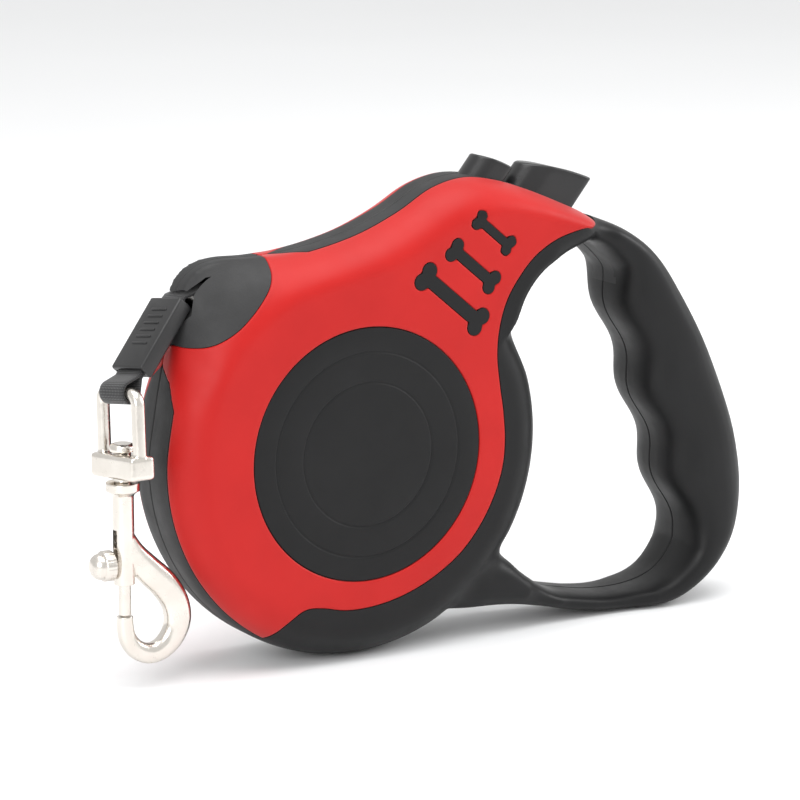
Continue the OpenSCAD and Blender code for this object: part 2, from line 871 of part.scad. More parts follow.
color(steel) on_foot() bolt_spring();
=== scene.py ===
# %% [markdown]
# # A retractable tape leash
# The leash is a clam-shell casing with a red soft-touch skin, a black hand loop, two buttons on its
# shoulder, and a bumper, swivel ring and snap hook on the end of the tape. The frame that comes from the
# mechanical model gives every piece its place, so this lesson only builds surfaces and finishes.
# Lengths are in millimetres about the spool axis until `row()` turns them into metres in the frame.

# %% Load the frame
import math

import bmesh
import bpy
import numpy as np
from mathutils import Matrix, Vector
from mathutils.geometry import delaunay_2d_cdt


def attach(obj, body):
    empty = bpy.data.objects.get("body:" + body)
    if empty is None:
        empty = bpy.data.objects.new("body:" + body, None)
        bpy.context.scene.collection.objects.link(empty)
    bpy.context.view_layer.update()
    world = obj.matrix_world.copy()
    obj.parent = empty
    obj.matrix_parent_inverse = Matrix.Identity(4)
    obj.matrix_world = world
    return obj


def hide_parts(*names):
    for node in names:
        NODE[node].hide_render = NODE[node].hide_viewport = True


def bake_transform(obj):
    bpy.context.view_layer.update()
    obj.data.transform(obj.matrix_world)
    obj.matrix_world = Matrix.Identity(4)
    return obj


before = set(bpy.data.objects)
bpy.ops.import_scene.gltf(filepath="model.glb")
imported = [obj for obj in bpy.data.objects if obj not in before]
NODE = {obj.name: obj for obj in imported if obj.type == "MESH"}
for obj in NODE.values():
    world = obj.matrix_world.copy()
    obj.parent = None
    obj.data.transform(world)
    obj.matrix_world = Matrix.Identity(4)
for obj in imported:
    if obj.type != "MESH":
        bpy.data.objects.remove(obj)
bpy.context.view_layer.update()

SPOOL_AXIS = np.array([-20.2, 0.0, 46.2])

# %% [markdown]
# ## Helpers for curves and solids
# A smooth moulding is mostly a few given stations joined by a curve. A Catmull-Rom curve passes
# through its stations, so a station can be read off a drawing. A loft then joins rings of points into one
# closed skin, which is easier to control than pushing a sphere or a cube about.


# %% Curves
def smooth(stations, steps, closed=False):
    """A curve through the stations, with the given number of steps between two of them."""
    p = np.array(stations, float)
    n = len(p)
    out = []
    for i in range(n if closed else n - 1):
        a, b, c, d = (p[(i + k) % n] if closed else p[min(max(i + k, 0), n - 1)] for k in (-1, 0, 1, 2))
        for t in np.arange(steps) / steps:
            out.append(0.5 * (2 * b + (c - a) * t + (2 * a - 5 * b + 4 * c - d) * t**2
                              + (3 * b - a - 3 * c + d) * t**3))
    if not closed:
        out.append(p[-1])
    return np.array(out)


def resample(line, spacing, closed=False):
    """The same line with points an even distance apart."""
    p = np.array(line, float)
    if closed:
        p = np.vstack([p, p[:1]])
    s = np.concatenate([[0], np.cumsum(np.linalg.norm(np.diff(p, axis=0), axis=1))])
    count = max(3, int(s[-1] / spacing))
    at = np.linspace(0, s[-1], count + 1)
    out = np.stack([np.interp(at, s, p[:, k]) for k in range(p.shape[1])], axis=1)
    return out[:-1] if closed else out


def heading(line):
    """Unit direction along an open line, at each of its points."""
    way = np.gradient(line, axis=0)
    return way / np.linalg.norm(way, axis=1)[:, None]


def inside(points, polygon):
    """True for each point within the closed polygon."""
    x, y = points[:, 0][:, None], points[:, 1][:, None]
    a, b = polygon, np.roll(polygon, -1, axis=0)
    crosses = (a[:, 1] > y) != (b[:, 1] > y)
    rise = np.where(b[:, 1] == a[:, 1], 1e-9, b[:, 1] - a[:, 1])
    return (crosses & (x < (b[:, 0] - a[:, 0]) * (y - a[:, 1]) / rise + a[:, 0])).sum(1) % 2 == 1


# %% Solids
def row(points):
    """Millimetres about the spool axis to metres in the frame."""
    return (np.asarray(points, float) + SPOOL_AXIS) / 1000


def solid(name, points, faces, placed=False):
    """A mesh object with its faces turned outward."""
    mesh = bpy.data.meshes.new(name)
    mesh.from_pydata([tuple(p) for p in (points if placed else row(points))], [], faces)
    mesh.validate()
    obj = bpy.data.objects.new(name, mesh)
    bpy.context.scene.collection.objects.link(obj)
    bm = bmesh.new()
    bm.from_mesh(mesh)
    bmesh.ops.remove_doubles(bm, verts=bm.verts, dist=1e-7)
    bmesh.ops.recalc_face_normals(bm, faces=bm.faces)
    bm.to_mesh(mesh)
    bm.free()
    return obj


def loft(rings, ends=True):
    """Points and faces of a skin through closed rings of equal length."""
    n = len(rings[0])
    faces = [(k * n + i, k * n + (i + 1) % n, (k + 1) * n + (i + 1) % n, (k + 1) * n + i)
             for k in range(len(rings) - 1) for i in range(n)]
    if ends:
        faces += [tuple(range(n - 1, -1, -1)), tuple((len(rings) - 1) * n + i for i in range(n))]
    return np.concatenate(rings), faces


def apply_modifiers(obj):
    """Bakes an object's modifiers into its mesh."""
    bpy.context.view_layer.update()
    shown = obj.evaluated_get(bpy.context.evaluated_depsgraph_get())
    mesh = bpy.data.meshes.new_from_object(shown)
    obj.modifiers.clear()
    old, obj.data = obj.data, mesh
    bpy.data.meshes.remove(old)
    return obj


def combine(obj, cutters, operation="DIFFERENCE"):
    """Cuts the cutters out of an object, or joins them to it."""
    for cutter in cutters if isinstance(cutters, list) else [cutters]:
        cut = obj.modifiers.new("cut", "BOOLEAN")
        cut.operation = operation
        cut.solver = "EXACT"
        cut.object = cutter
        apply_modifiers(obj)
        bpy.data.objects.remove(cutter)
    return obj


def rounded(obj, width, segments=3, angle=35):
    """Rounds the edges that are sharper than the angle."""
    bevel = obj.modifiers.new("bevel", "BEVEL")
    bevel.width = width / 1000
    bevel.segments = segments
    bevel.limit_method = "ANGLE"
    bevel.angle_limit = math.radians(angle)
    return apply_modifiers(obj)


def shade(obj, angle=32):
    """Smooth shading with the sharp edges kept."""
    for polygon in obj.data.polygons:
        polygon.use_smooth = True
    obj.data.set_sharp_from_angle(angle=math.radians(angle))
    print(obj.name, len(obj.data.vertices), "points,", len(obj.data.polygons), "faces")
    return obj


# %% Frames of the hanging pieces
def at_frame(origin, x, y, z):
    """A matrix that puts a piece drawn in millimetres in its own frame into the row frame."""
    m = np.eye(4)
    m[:3, 0], m[:3, 1], m[:3, 2] = x, y, z
    m[:3, 3] = np.asarray(origin, float) + SPOOL_AXIS
    m[:3] /= 1000
    return Matrix(m.tolist())


def hang(turn, tilt, slope):
    """Axes of a hanging piece: down its length, across it, and out of its front."""
    turn, tilt, slope = (math.radians(v) for v in (turn, tilt, slope))
    across = np.array([math.sin(turn) * math.cos(tilt), -math.cos(turn) * math.cos(tilt), math.sin(tilt)])
    front = np.array([-math.cos(turn), -math.sin(turn), 0.0])
    down = np.cross(across, front)
    return (down * math.cos(slope) + front * math.sin(slope), across,
            front * math.cos(slope) - down * math.sin(slope))


def place(obj, matrix):
    """Moves a piece drawn in its own frame into the row frame."""
    obj.data.transform(matrix)
    return obj


BUMPER_AT = np.array([-41.6, 0.0, 36.4])
BUMPER_L, BUMPER_W, BUMPER_T = 18.4, 10.1, 3.8
bumper_axes = hang(13.4, 7.3, 43.8)
bumper_frame = at_frame(BUMPER_AT, *bumper_axes)
bar_at = BUMPER_AT + bumper_axes[0] * (BUMPER_L + 5) - bumper_axes[2] * BUMPER_T / 2
ring_axes = hang(8, 5, 2)
ring_frame = at_frame(bar_at, *ring_axes)
BLOCK_H, RING_BOTTOM, RING_W = 5.1, 18.1, 13.1
block_mid = bar_at + ring_axes[0] * (RING_BOTTOM - BLOCK_H / 2)
hook_at = np.array([block_mid[0], block_mid[1], 0.0])
hook_frame = at_frame(hook_at, (1, 0, 0), (0, 1, 0), (0, 0, 1))
LEAN = math.radians(39)
BUTTON_AXES = ((math.cos(LEAN), 0, -math.sin(LEAN)), (0, 1, 0), (math.sin(LEAN), 0, math.cos(LEAN)))
brake_frame = at_frame((49.2, 0, 50.5), *BUTTON_AXES)
lock_frame = at_frame((34.4, 0, 54.9), *BUTTON_AXES)
print("hook axis at", hook_at.round(2), "ring bar at", bar_at.round(2))

# %% [markdown]
# ## The camera
# The casing fills most of the frame from its left side, a little from the front and from above. A long
# lens keeps the round casing round, as a product picture does.

# %% Camera
camera = bpy.data.objects.new("camera", bpy.data.cameras.new("camera"))
bpy.context.scene.collection.objects.link(camera)
camera.data.lens = 160
camera.data.sensor_width = 36
azimuth, elevation = math.radians(-30.327), math.radians(11.991)
back = Vector((math.sin(azimuth) * math.cos(elevation), -math.cos(azimuth) * math.cos(elevation),
               math.sin(elevation)))
camera.rotation_mode = "QUATERNION"
camera.rotation_quaternion = (-back).to_track_quat("-Z", "Y")
camera.location = Vector(row((-371.82, -662.26, 170.96)))
camera.data.clip_start, camera.data.clip_end = 0.05, 60
bpy.context.scene.camera = camera

# %% [markdown]
# ## Finishes
# The red skin is a soft-touch overmould: matt, very slightly mottled, with a faint sheen at glancing
# angles. The black mouldings are satin where hands polish them and fine-grained on the nose and along the
# seam. Each finish is one Principled shader; noise in the object's own coordinates drives its colour,
# roughness and bump, so the finish stays put from every side. Noise scales are in metres, so a scale of
# 2500 makes a grain about half a millimetre across.


# %% Moulded finishes
def finish_of(name, rough, metallic=0.0, **sockets):
    """A new material, its node tree and its Principled shader."""
    material = bpy.data.materials.new(name)
    material.use_nodes = True
    tree = material.node_tree
    shader = next(n for n in tree.nodes if n.type == "BSDF_PRINCIPLED")
    shader.inputs["Roughness"].default_value = rough
    shader.inputs["Metallic"].default_value = metallic
    for key, value in sockets.items():
        shader.inputs[key.replace("_", " ")].default_value = value
    return material, tree, shader


def noise(tree, scale, detail=3.0, stretch=None, rough=0.5):
    """A noise in the object's own coordinates."""
    place_at = tree.nodes.new("ShaderNodeTexCoord")
    texture = tree.nodes.new("ShaderNodeTexNoise")
    texture.inputs["Scale"].default_value = scale
    texture.inputs["Detail"].default_value = detail
    texture.inputs["Roughness"].default_value = rough
    source = place_at.outputs["Object"]
    if stretch:
        mapping = tree.nodes.new("ShaderNodeMapping")
        mapping.inputs["Scale"].default_value = stretch
        tree.links.new(source, mapping.inputs["Vector"])
        source = mapping.outputs["Vector"]
    tree.links.new(source, texture.inputs["Vector"])
    return texture.outputs[0]


def ramp(tree, source, stops):
    """A colour ramp from the source: stops are (position, colour or grey)."""
    node = tree.nodes.new("ShaderNodeValToRGB")
    while len(node.color_ramp.elements) < len(stops):
        node.color_ramp.elements.new(0.5)
    for element, (position, colour) in zip(node.color_ramp.elements, stops):
        element.position = position
        element.color = (*([colour] * 3 if isinstance(colour, (int, float)) else colour), 1)
    tree.links.new(source, node.inputs["Fac"])
    return node.outputs["Color"]


def bump(tree, shader, height, strength, distance, under=None):
    """Adds a bump over the one given, and sends it to the shader."""
    node = tree.nodes.new("ShaderNodeBump")
    node.inputs["Strength"].default_value = strength
    node.inputs["Distance"].default_value = distance
    tree.links.new(height, node.inputs["Height"])
    if under is not None:
        tree.links.new(under, node.inputs["Normal"])
    tree.links.new(node.outputs["Normal"], shader.inputs["Normal"])
    return node.outputs["Normal"]


def moulding(name, dark, light, rough, grain, grain_depth, wave_depth=0.00004, **sockets):
    """A moulded plastic: mottled colour, uneven gloss, a fine grain and a faint waviness."""
    material, tree, shader = finish_of(name, sum(rough) / 2, **sockets)
    mottle = noise(tree, 60, 4)
    tree.links.new(ramp(tree, mottle, [(0.3, dark), (0.7, light)]), shader.inputs["Base Color"])
    worn = noise(tree, 170, 5, rough=0.65)
    tree.links.new(ramp(tree, worn, [(0.35, rough[0]), (0.68, rough[1])]), shader.inputs["Roughness"])
    wave = bump(tree, shader, noise(tree, 90, 1), 0.5, wave_depth)
    bump(tree, shader, noise(tree, grain, 2), 0.6, grain_depth, wave)
    return material


red_soft = moulding("red_soft_touch", (0.40, 0.0068, 0.0056), (0.45, 0.0092, 0.0074), (0.42, 0.50), 2600,
                    0.000010, Sheen_Weight=0.12, Sheen_Roughness=0.4, Specular_IOR_Level=0.24)
black_satin = moulding("black_satin", (0.0045, 0.0045, 0.0048), (0.0065, 0.0065, 0.007), (0.40, 0.50), 3000,
                       0.000008, Specular_IOR_Level=0.25)
black_grain = moulding("black_grained", (0.010, 0.010, 0.0105), (0.016, 0.016, 0.0165), (0.55, 0.66), 1900,
                       0.000045, Specular_IOR_Level=0.5)
black_cap = moulding("black_side_cap", (0.005, 0.005, 0.0053), (0.0072, 0.0072, 0.0076), (0.46, 0.55), 2400,
                     0.000014, Specular_IOR_Level=0.24)
black_gloss = moulding("black_button", (0.007, 0.007, 0.0075), (0.011, 0.011, 0.0115), (0.27, 0.36), 2600,
                       0.000006, Specular_IOR_Level=0.5)
black_bumper = moulding("black_bumper", (0.009, 0.009, 0.0095), (0.014, 0.014, 0.0145), (0.33, 0.43), 2200,
                        0.000012, Specular_IOR_Level=0.5)
white_nylon = moulding("white_nylon", (0.62, 0.60, 0.54), (0.72, 0.70, 0.64), (0.38, 0.5), 1500, 0.00001,
                       Subsurface_Weight=0.1)

# %% [markdown]
# The ring and the hook are zinc castings with bright nickel plate. Real plate is never a perfect mirror:
# polishing leaves a slight orange peel and faint drawn lines, and it dulls where hands and rings rub it.


# %% Metal finishes
def plate(name, dark, light, rough, peel=0.00006, lines=None):
    """A plated metal: uneven gloss from rubbing, orange peel, and drawn lines if given."""
    material, tree, shader = finish_of(name, sum(rough) / 2, metallic=1.0)
    tree.links.new(ramp(tree, noise(tree, 130, 5), [(0.3, dark), (0.7, light)]), shader.inputs["Base Color"])
    rub = noise(tree, 420, 6, rough=0.7)
    tree.links.new(ramp(tree, rub, [(0.38, rough[0]), (0.66, rough[1])]), shader.inputs["Roughness"])
    skin = bump(tree, shader, noise(tree, 260, 2), 0.5, peel)
    if lines:
        bump(tree, shader, noise(tree, 900, 3, stretch=lines), 0.35, 0.000012, skin)
    return material


nickel = plate("nickel_plate", (0.66, 0.62, 0.565), (0.76, 0.72, 0.665), (0.17, 0.30))
nickel_lines = plate("nickel_drawn", (0.64, 0.60, 0.55), (0.75, 0.71, 0.655), (0.20, 0.32),
                     lines=(1, 1, 0.05))
spring_steel = plate("spring_steel", (0.36, 0.35, 0.33), (0.47, 0.46, 0.44), (0.28, 0.42))

# %% [markdown]
# The tape is a dense plain weave of black polyester. Two wave textures at right angles, multiplied, give
# the raised warp and weft. They read a map laid out in millimetres across and along the strip, so the
# threads follow every fold; object coordinates would cut through the folds instead.


# %% Woven tape
def woven(name, threads_across, threads_along):
    """A weave from the strip's own map."""
    material, tree, shader = finish_of(name, 0.78, Sheen_Weight=0.25, Sheen_Roughness=0.5)
    uv = tree.nodes.new("ShaderNodeUVMap")
    uv.uv_map = "weave"
    waves = []
    for direction, count in (("X", threads_across), ("Y", threads_along)):
        wave = tree.nodes.new("ShaderNodeTexWave")
        wave.bands_direction = direction
        wave.inputs["Scale"].default_value = count
        wave.inputs["Distortion"].default_value = 0.6
        wave.inputs["Detail"].default_value = 1.0
        tree.links.new(uv.outputs["UV"], wave.inputs["Vector"])
        waves.append(wave.outputs["Fac"])
    weave = tree.nodes.new("ShaderNodeMath")
    weave.operation = "MULTIPLY"
    tree.links.new(waves[0], weave.inputs[0])
    tree.links.new(waves[1], weave.inputs[1])
    dark, light = (0.006, 0.006, 0.0065), (0.032, 0.032, 0.034)
    tree.links.new(ramp(tree, weave.outputs[0], [(0.1, dark), (0.8, light)]), shader.inputs["Base Color"])
    weave_bump = bump(tree, shader, weave.outputs[0], 0.8, 0.00012)
    bump(tree, shader, noise(tree, 5200, 2), 0.5, 0.00004, weave_bump)
    return material


webbing = woven("woven_tape", 0.62, 0.62)
print("finishes", len(bpy.data.materials))


def dress(obj, material, slot, body, *nodes):
    """Gives a piece its finish, its body and the nodes that it stands for; the slot is not used."""
    obj.data.materials.clear()
    obj.data.materials.append(material)
    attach(obj, body)
    if nodes:
        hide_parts(*nodes)
    return obj


# %% [markdown]
# ## The casing's form
# Each half of the casing is drawn by two outlines: one at the seam and one round the flat side, with the
# roll between them an ellipse that can be full or hollow. Outlines with stations are how such a moulding
# is drawn by hand, and the round belly, the shoulder and the nose can each have their own fullness.

# %% Outline stations: seam x and z, flat side x and z, fullness of the roll
HALF_T, FLAT_W = 13.5, 3.0
BODY_R, EDGE_ROLL = 46.2, 8.4
round_part = [
    [r * turned(math.radians(a)) for r in (BODY_R, BODY_R - EDGE_ROLL) for turned in (math.cos, math.sin)] + [1]
    for a in range(165, 391, 15)]
shoulder_part = [
    [41.3, 28.6, 36.4, 24.2, 0.86], [44.6, 34, 38.6, 30, 0.86], [49.4, 37.5, 42.6, 35.6, 0.86],
    [55.2, 39.8, 48.4, 39.4, 0.86], [60.4, 41.6, 54, 41.6, 0.86], [62.6, 44, 58.6, 43.4, 0.86],
    [60, 46.9, 56.4, 44.8, 0.86], [54, 49.8, 51.2, 46.6, 0.86], [45.4, 53.4, 43.6, 48.6, 0.86],
    [36.6, 56.3, 35.8, 49.8, 0.86], [28.4, 57.4, 29, 49.7, 0.86], [20.4, 55.6, 22.6, 47.8, 0.86],
    [12.4, 51.2, 14.8, 43.8, 0.86], [3.6, 47.5, 6.2, 40.2, 0.82], [-5, 45.2, -2.6, 38.3, 0.76],
    [-14, 43.8, -10.8, 36.4, 0.68]]
nose_part = [
    [-22.4, 43.4, -17.6, 34.4, 0.55], [-29.6, 43.5, -22.8, 31.2, 0.47], [-34.6, 42.4, -26.4, 28.4, 0.45],
    [-38, 39.8, -29.4, 25.6, 0.44], [-39.9, 36, -31.6, 22.8, 0.44], [-41, 31.6, -33.2, 20.4, 0.46],
    [-41.9, 26.4, -34.6, 17.6, 0.52], [-43.2, 19.6, -35.6, 14.2, 0.75]]
outline = smooth(round_part + shoulder_part + nose_part, 8, closed=True)
SEAM, SIDE, FULL = outline[:, :2], outline[:, 2:4], outline[:, 4]
REACH = np.linalg.norm(SEAM - SIDE, axis=1)
OUTWARD = (SEAM - SIDE) / REACH[:, None]
TURN = np.radians(np.linspace(90, 0, 31))
DEPTH = FLAT_W + (HALF_T - FLAT_W) * np.sin(TURN)
ROLL = REACH[:, None] * (1 - (1 - np.cos(TURN))[None, :] ** FULL[:, None])
ARC = np.concatenate([np.zeros((len(ROLL), 1)),
                      np.cumsum(np.hypot(np.diff(ROLL, axis=1), np.diff(DEPTH)[None, :]), axis=1)], axis=1)
print("outline", len(outline), "points; roll up to", ARC[:, -1].max().round(1), "mm round")

# %% Hand loop stations: outer x and z, inner x and z, half width
grip_part = [
    [76.6, 38.7, 33.2], [81.6, 33.7, 28.6], [86, 27.5, 23.2], [90.2, 20.6, 17.2], [94.2, 13.2, 10.6],
    [97.8, 5.4, 3.6], [100.9, -3, -3.6], [103.1, -11.4, -10.6], [104.1, -19.2, -17.2],
    [103.2, -26.8, -23.2], [100.6, -33.4, -28.4], [96, -39, -32.6]]


def finger_side(z):
    """The inside of the grip, with a scallop for each finger."""
    return 66.7 + (35.8 - z) / 3 - 1.25 * np.cos(np.radians(360 * (z - 4) / 20.3))


loop_stations = (
    [[46, 50, 44, 43, 9], [57.6, 47.6, 55.2, 41.2, 10.4], [64.6, 45.3, 61.2, 40.3, 10.8],
     [70.8, 42.6, 65, 37.6, 10.8]]
    + [[x, z, finger_side(inner), inner, 11] for x, z, inner in grip_part]
    + [[90.2, -43.4, 85.6, -37.6, 10.4], [83.6, -46, 81, -40.4, 10], [75, -46.13, 74.4, -41.7, 9.6],
       [66.4, -45.95, 66.2, -41.6, 9.4], [57.6, -44.6, 58.6, -40.4, 9.6], [49.6, -42.6, 51, -38.3, 10],
       [42.4, -41.2, 43.6, -33.2, 10.6], [35, -40.6, 38.6, -28.5, 11.1], [25, -40.6, 30, -23, 11.4]])
loop_line = smooth(loop_stations, 8)
gripping = (loop_line[:, 2] > 66) & (loop_line[:, 3] < 34) & (loop_line[:, 3] > -33)
loop_line[gripping, 2] = finger_side(loop_line[gripping, 3])

# %% [markdown]
# ## The black body
# The casing and the hand loop flow into each other on the real mould. Two lofts that only cross would meet
# in a hard crease, so they are fused by a voxel remesh, and the points near the crease are relaxed towards
# their neighbours until it becomes a soft fillet. The hollow, the buttons' wells and the tape's mouth are
# cut afterwards, so their edges stay crisp. The hand loop is left solid inside, where nothing shows.

# %% Fuse casing and loop
VOXEL = 0.75
rings = []
for side in (-1, 1):
    for k in range(len(TURN))[::-side]:
        xz = SIDE + OUTWARD * ROLL[:, k:k + 1]
        rings.append(np.stack([xz[:, 0], np.full(len(xz), side * DEPTH[k]), xz[:, 1]], axis=1))
rings = rings[::-1] if rings[0][0, 1] > 0 else rings
body = solid("casing_body", *loft(rings))

section = np.radians(np.arange(0, 360, 9))
across = np.sign(np.cos(section)) * np.abs(np.cos(section)) ** 0.72
width = np.sign(np.sin(section)) * np.abs(np.sin(section)) ** 0.72
rings = []
for ox, oz, ix, iz, half in loop_line:
    rings.append(np.stack([(ox + ix) / 2 + (ox - ix) / 2 * across, half * width,
                           (oz + iz) / 2 + (oz - iz) / 2 * across], axis=1))
loop = solid("loop_body", *loft(rings))
both = bmesh.new()
both.from_mesh(body.data)
both.from_mesh(loop.data)
both.to_mesh(body.data)
both.free()
bpy.data.objects.remove(loop)
fuse = body.modifiers.new("fuse", "REMESH")
fuse.mode = "VOXEL"
fuse.voxel_size = VOXEL / 1000
fuse.adaptivity = 0
apply_modifiers(body)
print("fused", len(body.data.vertices), "points")

# %% Relax the crease where the loop meets the casing
edges = np.array([e.vertices for e in body.data.edges])
points = np.array([v.co for v in body.data.vertices])
normals = np.array([v.normal for v in body.data.vertices])
fold = (normals[edges[:, 0]] * normals[edges[:, 1]]).sum(1)
crease = np.zeros(len(points))
x, z = points[:, 0] * 1000 - SPOOL_AXIS[0], points[:, 2] * 1000 - SPOOL_AXIS[2]
joining = (x > 20) & (x < 72) & ((z > 34) | (z < -16)) & ((np.abs(points[:, 1]) > 0.004) | (z < -16))
sharp = edges[fold < 0.93].ravel()
crease[sharp[joining[sharp]]] = 1
degree = np.bincount(edges.ravel(), minlength=len(points)).astype(float)


def average(values):
    """Mean of each point's neighbours."""
    total = np.zeros_like(values)
    np.add.at(total, edges[:, 0], values[edges[:, 1]])
    np.add.at(total, edges[:, 1], values[edges[:, 0]])
    return total / (degree[:, None] if values.ndim > 1 else degree)


for _ in range(5):
    crease = np.maximum(crease, 0.9 * (average(crease) > 0.02) * crease.max())
for _ in range(6):
    crease = average(crease)
for _ in range(45):
    points += np.clip(crease, 0, 1)[:, None] * 0.6 * (average(points) - points)
for _ in range(2):
    points += 0.35 * (average(points) - points)
    points -= 0.36 * (average(points) - points)
body.data.vertices.foreach_set("co", points.ravel())
body.data.update()
print("relaxed", int((crease > 0.05).sum()), "points round the crease")

# %% [markdown]
# ## The flat plan of a side
# The red skin ends at several curved edges, and each has a small rounded lip that catches the light. To
# keep those lips even, the side is unrolled into a flat plan: the flat face stays as it is and the roll is
# laid out along its own arc. The skin is triangulated in that plan, with rows of points beside every edge,
# and then wrapped back. A Boolean cut would have been shorter, but it leaves edges with no lip.


# %% Unroll and wrap back
def ray_of(plan):
    """For points outside the flat face: the ray of the roll that they lie on, and how far out."""
    index, part, far = [], [], []
    for block in np.array_split(np.asarray(plan, float), max(1, len(plan) // 1500)):
        d = block[:, None, :] - SIDE[None]
        turn = OUTWARD[None, :, 0] * d[:, :, 1] - OUTWARD[None, :, 1] * d[:, :, 0]
        ahead = (d * OUTWARD[None]).sum(2)
        after, ahead_after = np.roll(turn, -1, axis=1), np.roll(ahead, -1, axis=1)
        hit = (turn * after <= 0) & (ahead > -0.2) & (ahead_after > -0.2)
        i = np.where(hit, np.abs(ahead), 1e6 + (d**2).sum(2)).argmin(1)
        m = np.arange(len(block))
        f = turn[m, i] / np.where(turn[m, i] == after[m, i], 1, turn[m, i] - after[m, i])
        f = np.clip(f, 0, 1)
        base = SIDE[i] * (1 - f)[:, None] + SIDE[(i + 1) % len(SIDE)] * f[:, None]
        index.append(i)
        part.append(f)
        far.append(np.linalg.norm(block - base, axis=1))
    return np.concatenate(index), np.concatenate(part), np.concatenate(far)


def between(table, i, f):
    """A table's row between two rays."""
    f = f.reshape(-1, *[1] * (table.ndim - 1))
    return table[i] * (1 - f) + table[(i + 1) % len(table)] * f


def look_up(value, given, wanted):
    """Row by row, wanted at the place where given reaches value."""
    k = np.clip((given < value[:, None]).sum(1) - 1, 0, given.shape[1] - 2)
    m = np.arange(len(value))
    low, high = given[m, k], given[m, k + 1]
    f = (value - low) / np.where(high > low, high - low, 1)
    return wanted[m, k] * (1 - f) + wanted[m, k + 1] * f


def unroll(line):
    """Points seen from the side (x, z) to the flat plan."""
    line = np.asarray(line, float)
    out = line.copy()
    off = ~inside(line, SIDE)
    if off.any():
        i, f, far = ray_of(line[off])
        roll, arc = between(ROLL, i, f), between(ARC, i, f)
        reach = roll[:, -1]
        along = look_up(np.minimum(far, reach), roll, arc) + np.maximum(far - reach, 0)
        way = between(OUTWARD, i, f)
        way /= np.linalg.norm(way, axis=1)[:, None]
        out[off] = between(SIDE, i, f) + way * along[:, None]
    return out


def wrap(plan):
    """Points of the flat plan to the casing's left side (x, y, z)."""
    plan = np.asarray(plan, float)
    out = np.stack([plan[:, 0], np.full(len(plan), -HALF_T), plan[:, 1]], axis=1)
    off = ~inside(plan, SIDE)
    if off.any():
        i, f, far = ray_of(plan[off])
        roll, arc = between(ROLL, i, f), between(ARC, i, f)
        depth = np.broadcast_to(DEPTH, roll.shape)
        end = arc[:, -1]
        rho = look_up(np.minimum(far, end), arc, roll)
        y = look_up(np.minimum(far, end), arc, depth) - np.maximum(far - end, 0)
        way = between(OUTWARD, i, f)
        way /= np.linalg.norm(way, axis=1)[:, None]
        xz = between(SIDE, i, f) + way * rho[:, None]
        out[off] = np.stack([xz[:, 0], -y, xz[:, 1]], axis=1)
    return out


# %% Edges of the red skin
red_edge = smooth([
    [66, 46.8], [58.9, 45.3], [53.5, 44.6], [47.5, 42.9], [42.1, 39.7], [38, 35.3], [35, 30.6],
    [33.2, 25], [32.6, 18.6], [33.4, 11.5], [34.3, 5.5], [34.7, -1], [34, -7], [31.9, -13],
    [28.6, -18.8], [24.2, -24], [19, -27.9], [13, -31], [6.6, -33.1], [0, -34.1], [-6, -34],
    [-11.4, -32.8], [-15.6, -32.6], [-19, -34.4], [-21.6, -37.2], [-26, -44]], 8)
nose_edge = smooth([
    [-60, 25], [-44.6, 26.8], [-40, 26.3], [-36, 27], [-31.4, 29.6], [-28.1, 32.3], [-24.6, 35.7],
    [-21.8, 38.9], [-20.2, 42], [-19.8, 46], [-22, 60]], 8)
CAP_R = 28
circle = np.radians(np.arange(0, 360, 1.2))
disc_edge = np.stack([CAP_R * np.cos(circle), CAP_R * np.sin(circle)], axis=1)
BONE_LEAN = -40


def bone_edge(x, z, length, lobe, bar):
    """A bone in outline: two lobes at each end of a bar, along the shoulder's slope."""
    r, half, end = lobe / 2, lobe * 0.42, (length - lobe) / 2
    notch = end + math.sqrt(r * r - (half - 0.15) ** 2)
    out = []
    for px in np.concatenate([np.linspace(0, end - r, 6), end + r * np.sin(np.linspace(-1.5, 1.57, 16))]):
        on_bar = bar / 2 if px < end else 0
        on_lobe = half + math.sqrt(max(r * r - (px - end) ** 2, 0)) if px > end - r else 0
        out.append((px, max(on_bar, on_lobe)))
    back = [(px, half - math.sqrt(max(r * r - (px - end) ** 2, 0)))
            for px in end + (notch - end) + (end + r - notch) * np.cos(np.linspace(0.3, 1.57, 6))]
    quarter = np.array(out + back)
    right = np.concatenate([quarter, quarter[::-1] * [1, -1]])
    whole = np.concatenate([right, right * -1])
    whole = whole[np.linalg.norm(whole - np.roll(whole, 1, axis=0), axis=1) > 1e-3]
    turn = math.radians(BONE_LEAN)
    spin = np.array([[math.cos(turn), math.sin(turn)], [-math.sin(turn), math.cos(turn)]])
    return whole @ spin + [x, z]


bone_edges = [bone_edge(20.9, 32.2, 21, 3.6, 3), bone_edge(26.2, 39, 15.4, 3, 2.4),
              bone_edge(31.5, 45.9, 12.2, 2.5, 1.9)]
SCREWS = [[94.6, -19], [79.8, 23], [-33.1, -23.3], [33.1, -23.3], [15, 45]]


def strip_half(x, z):
    """Half width of the black strip along the seam."""
    top = np.where((z > 30) & (x < 90), np.interp(x, [-17.5, -10], [0, 4.5]), 0)
    front = np.where(x < -5, np.interp(z, [13, 18.6, 21.6], [7, 4, 0]), 0)
    return np.maximum(top, front)


half = strip_half(SEAM[:, 0], SEAM[:, 1])
reach_to = np.where(half > FLAT_W,
                    [np.interp(-h, -DEPTH, arc) for h, arc in zip(half, ARC)], ARC[:, -1] + FLAT_W - half)
strip_edge = SIDE + OUTWARD * reach_to[:, None]
red_field = np.vstack([red_edge, [[-60, -44], [-60, 70], [66, 70]]])
nose_field = np.vstack([nose_edge, [[-60, 60]]])


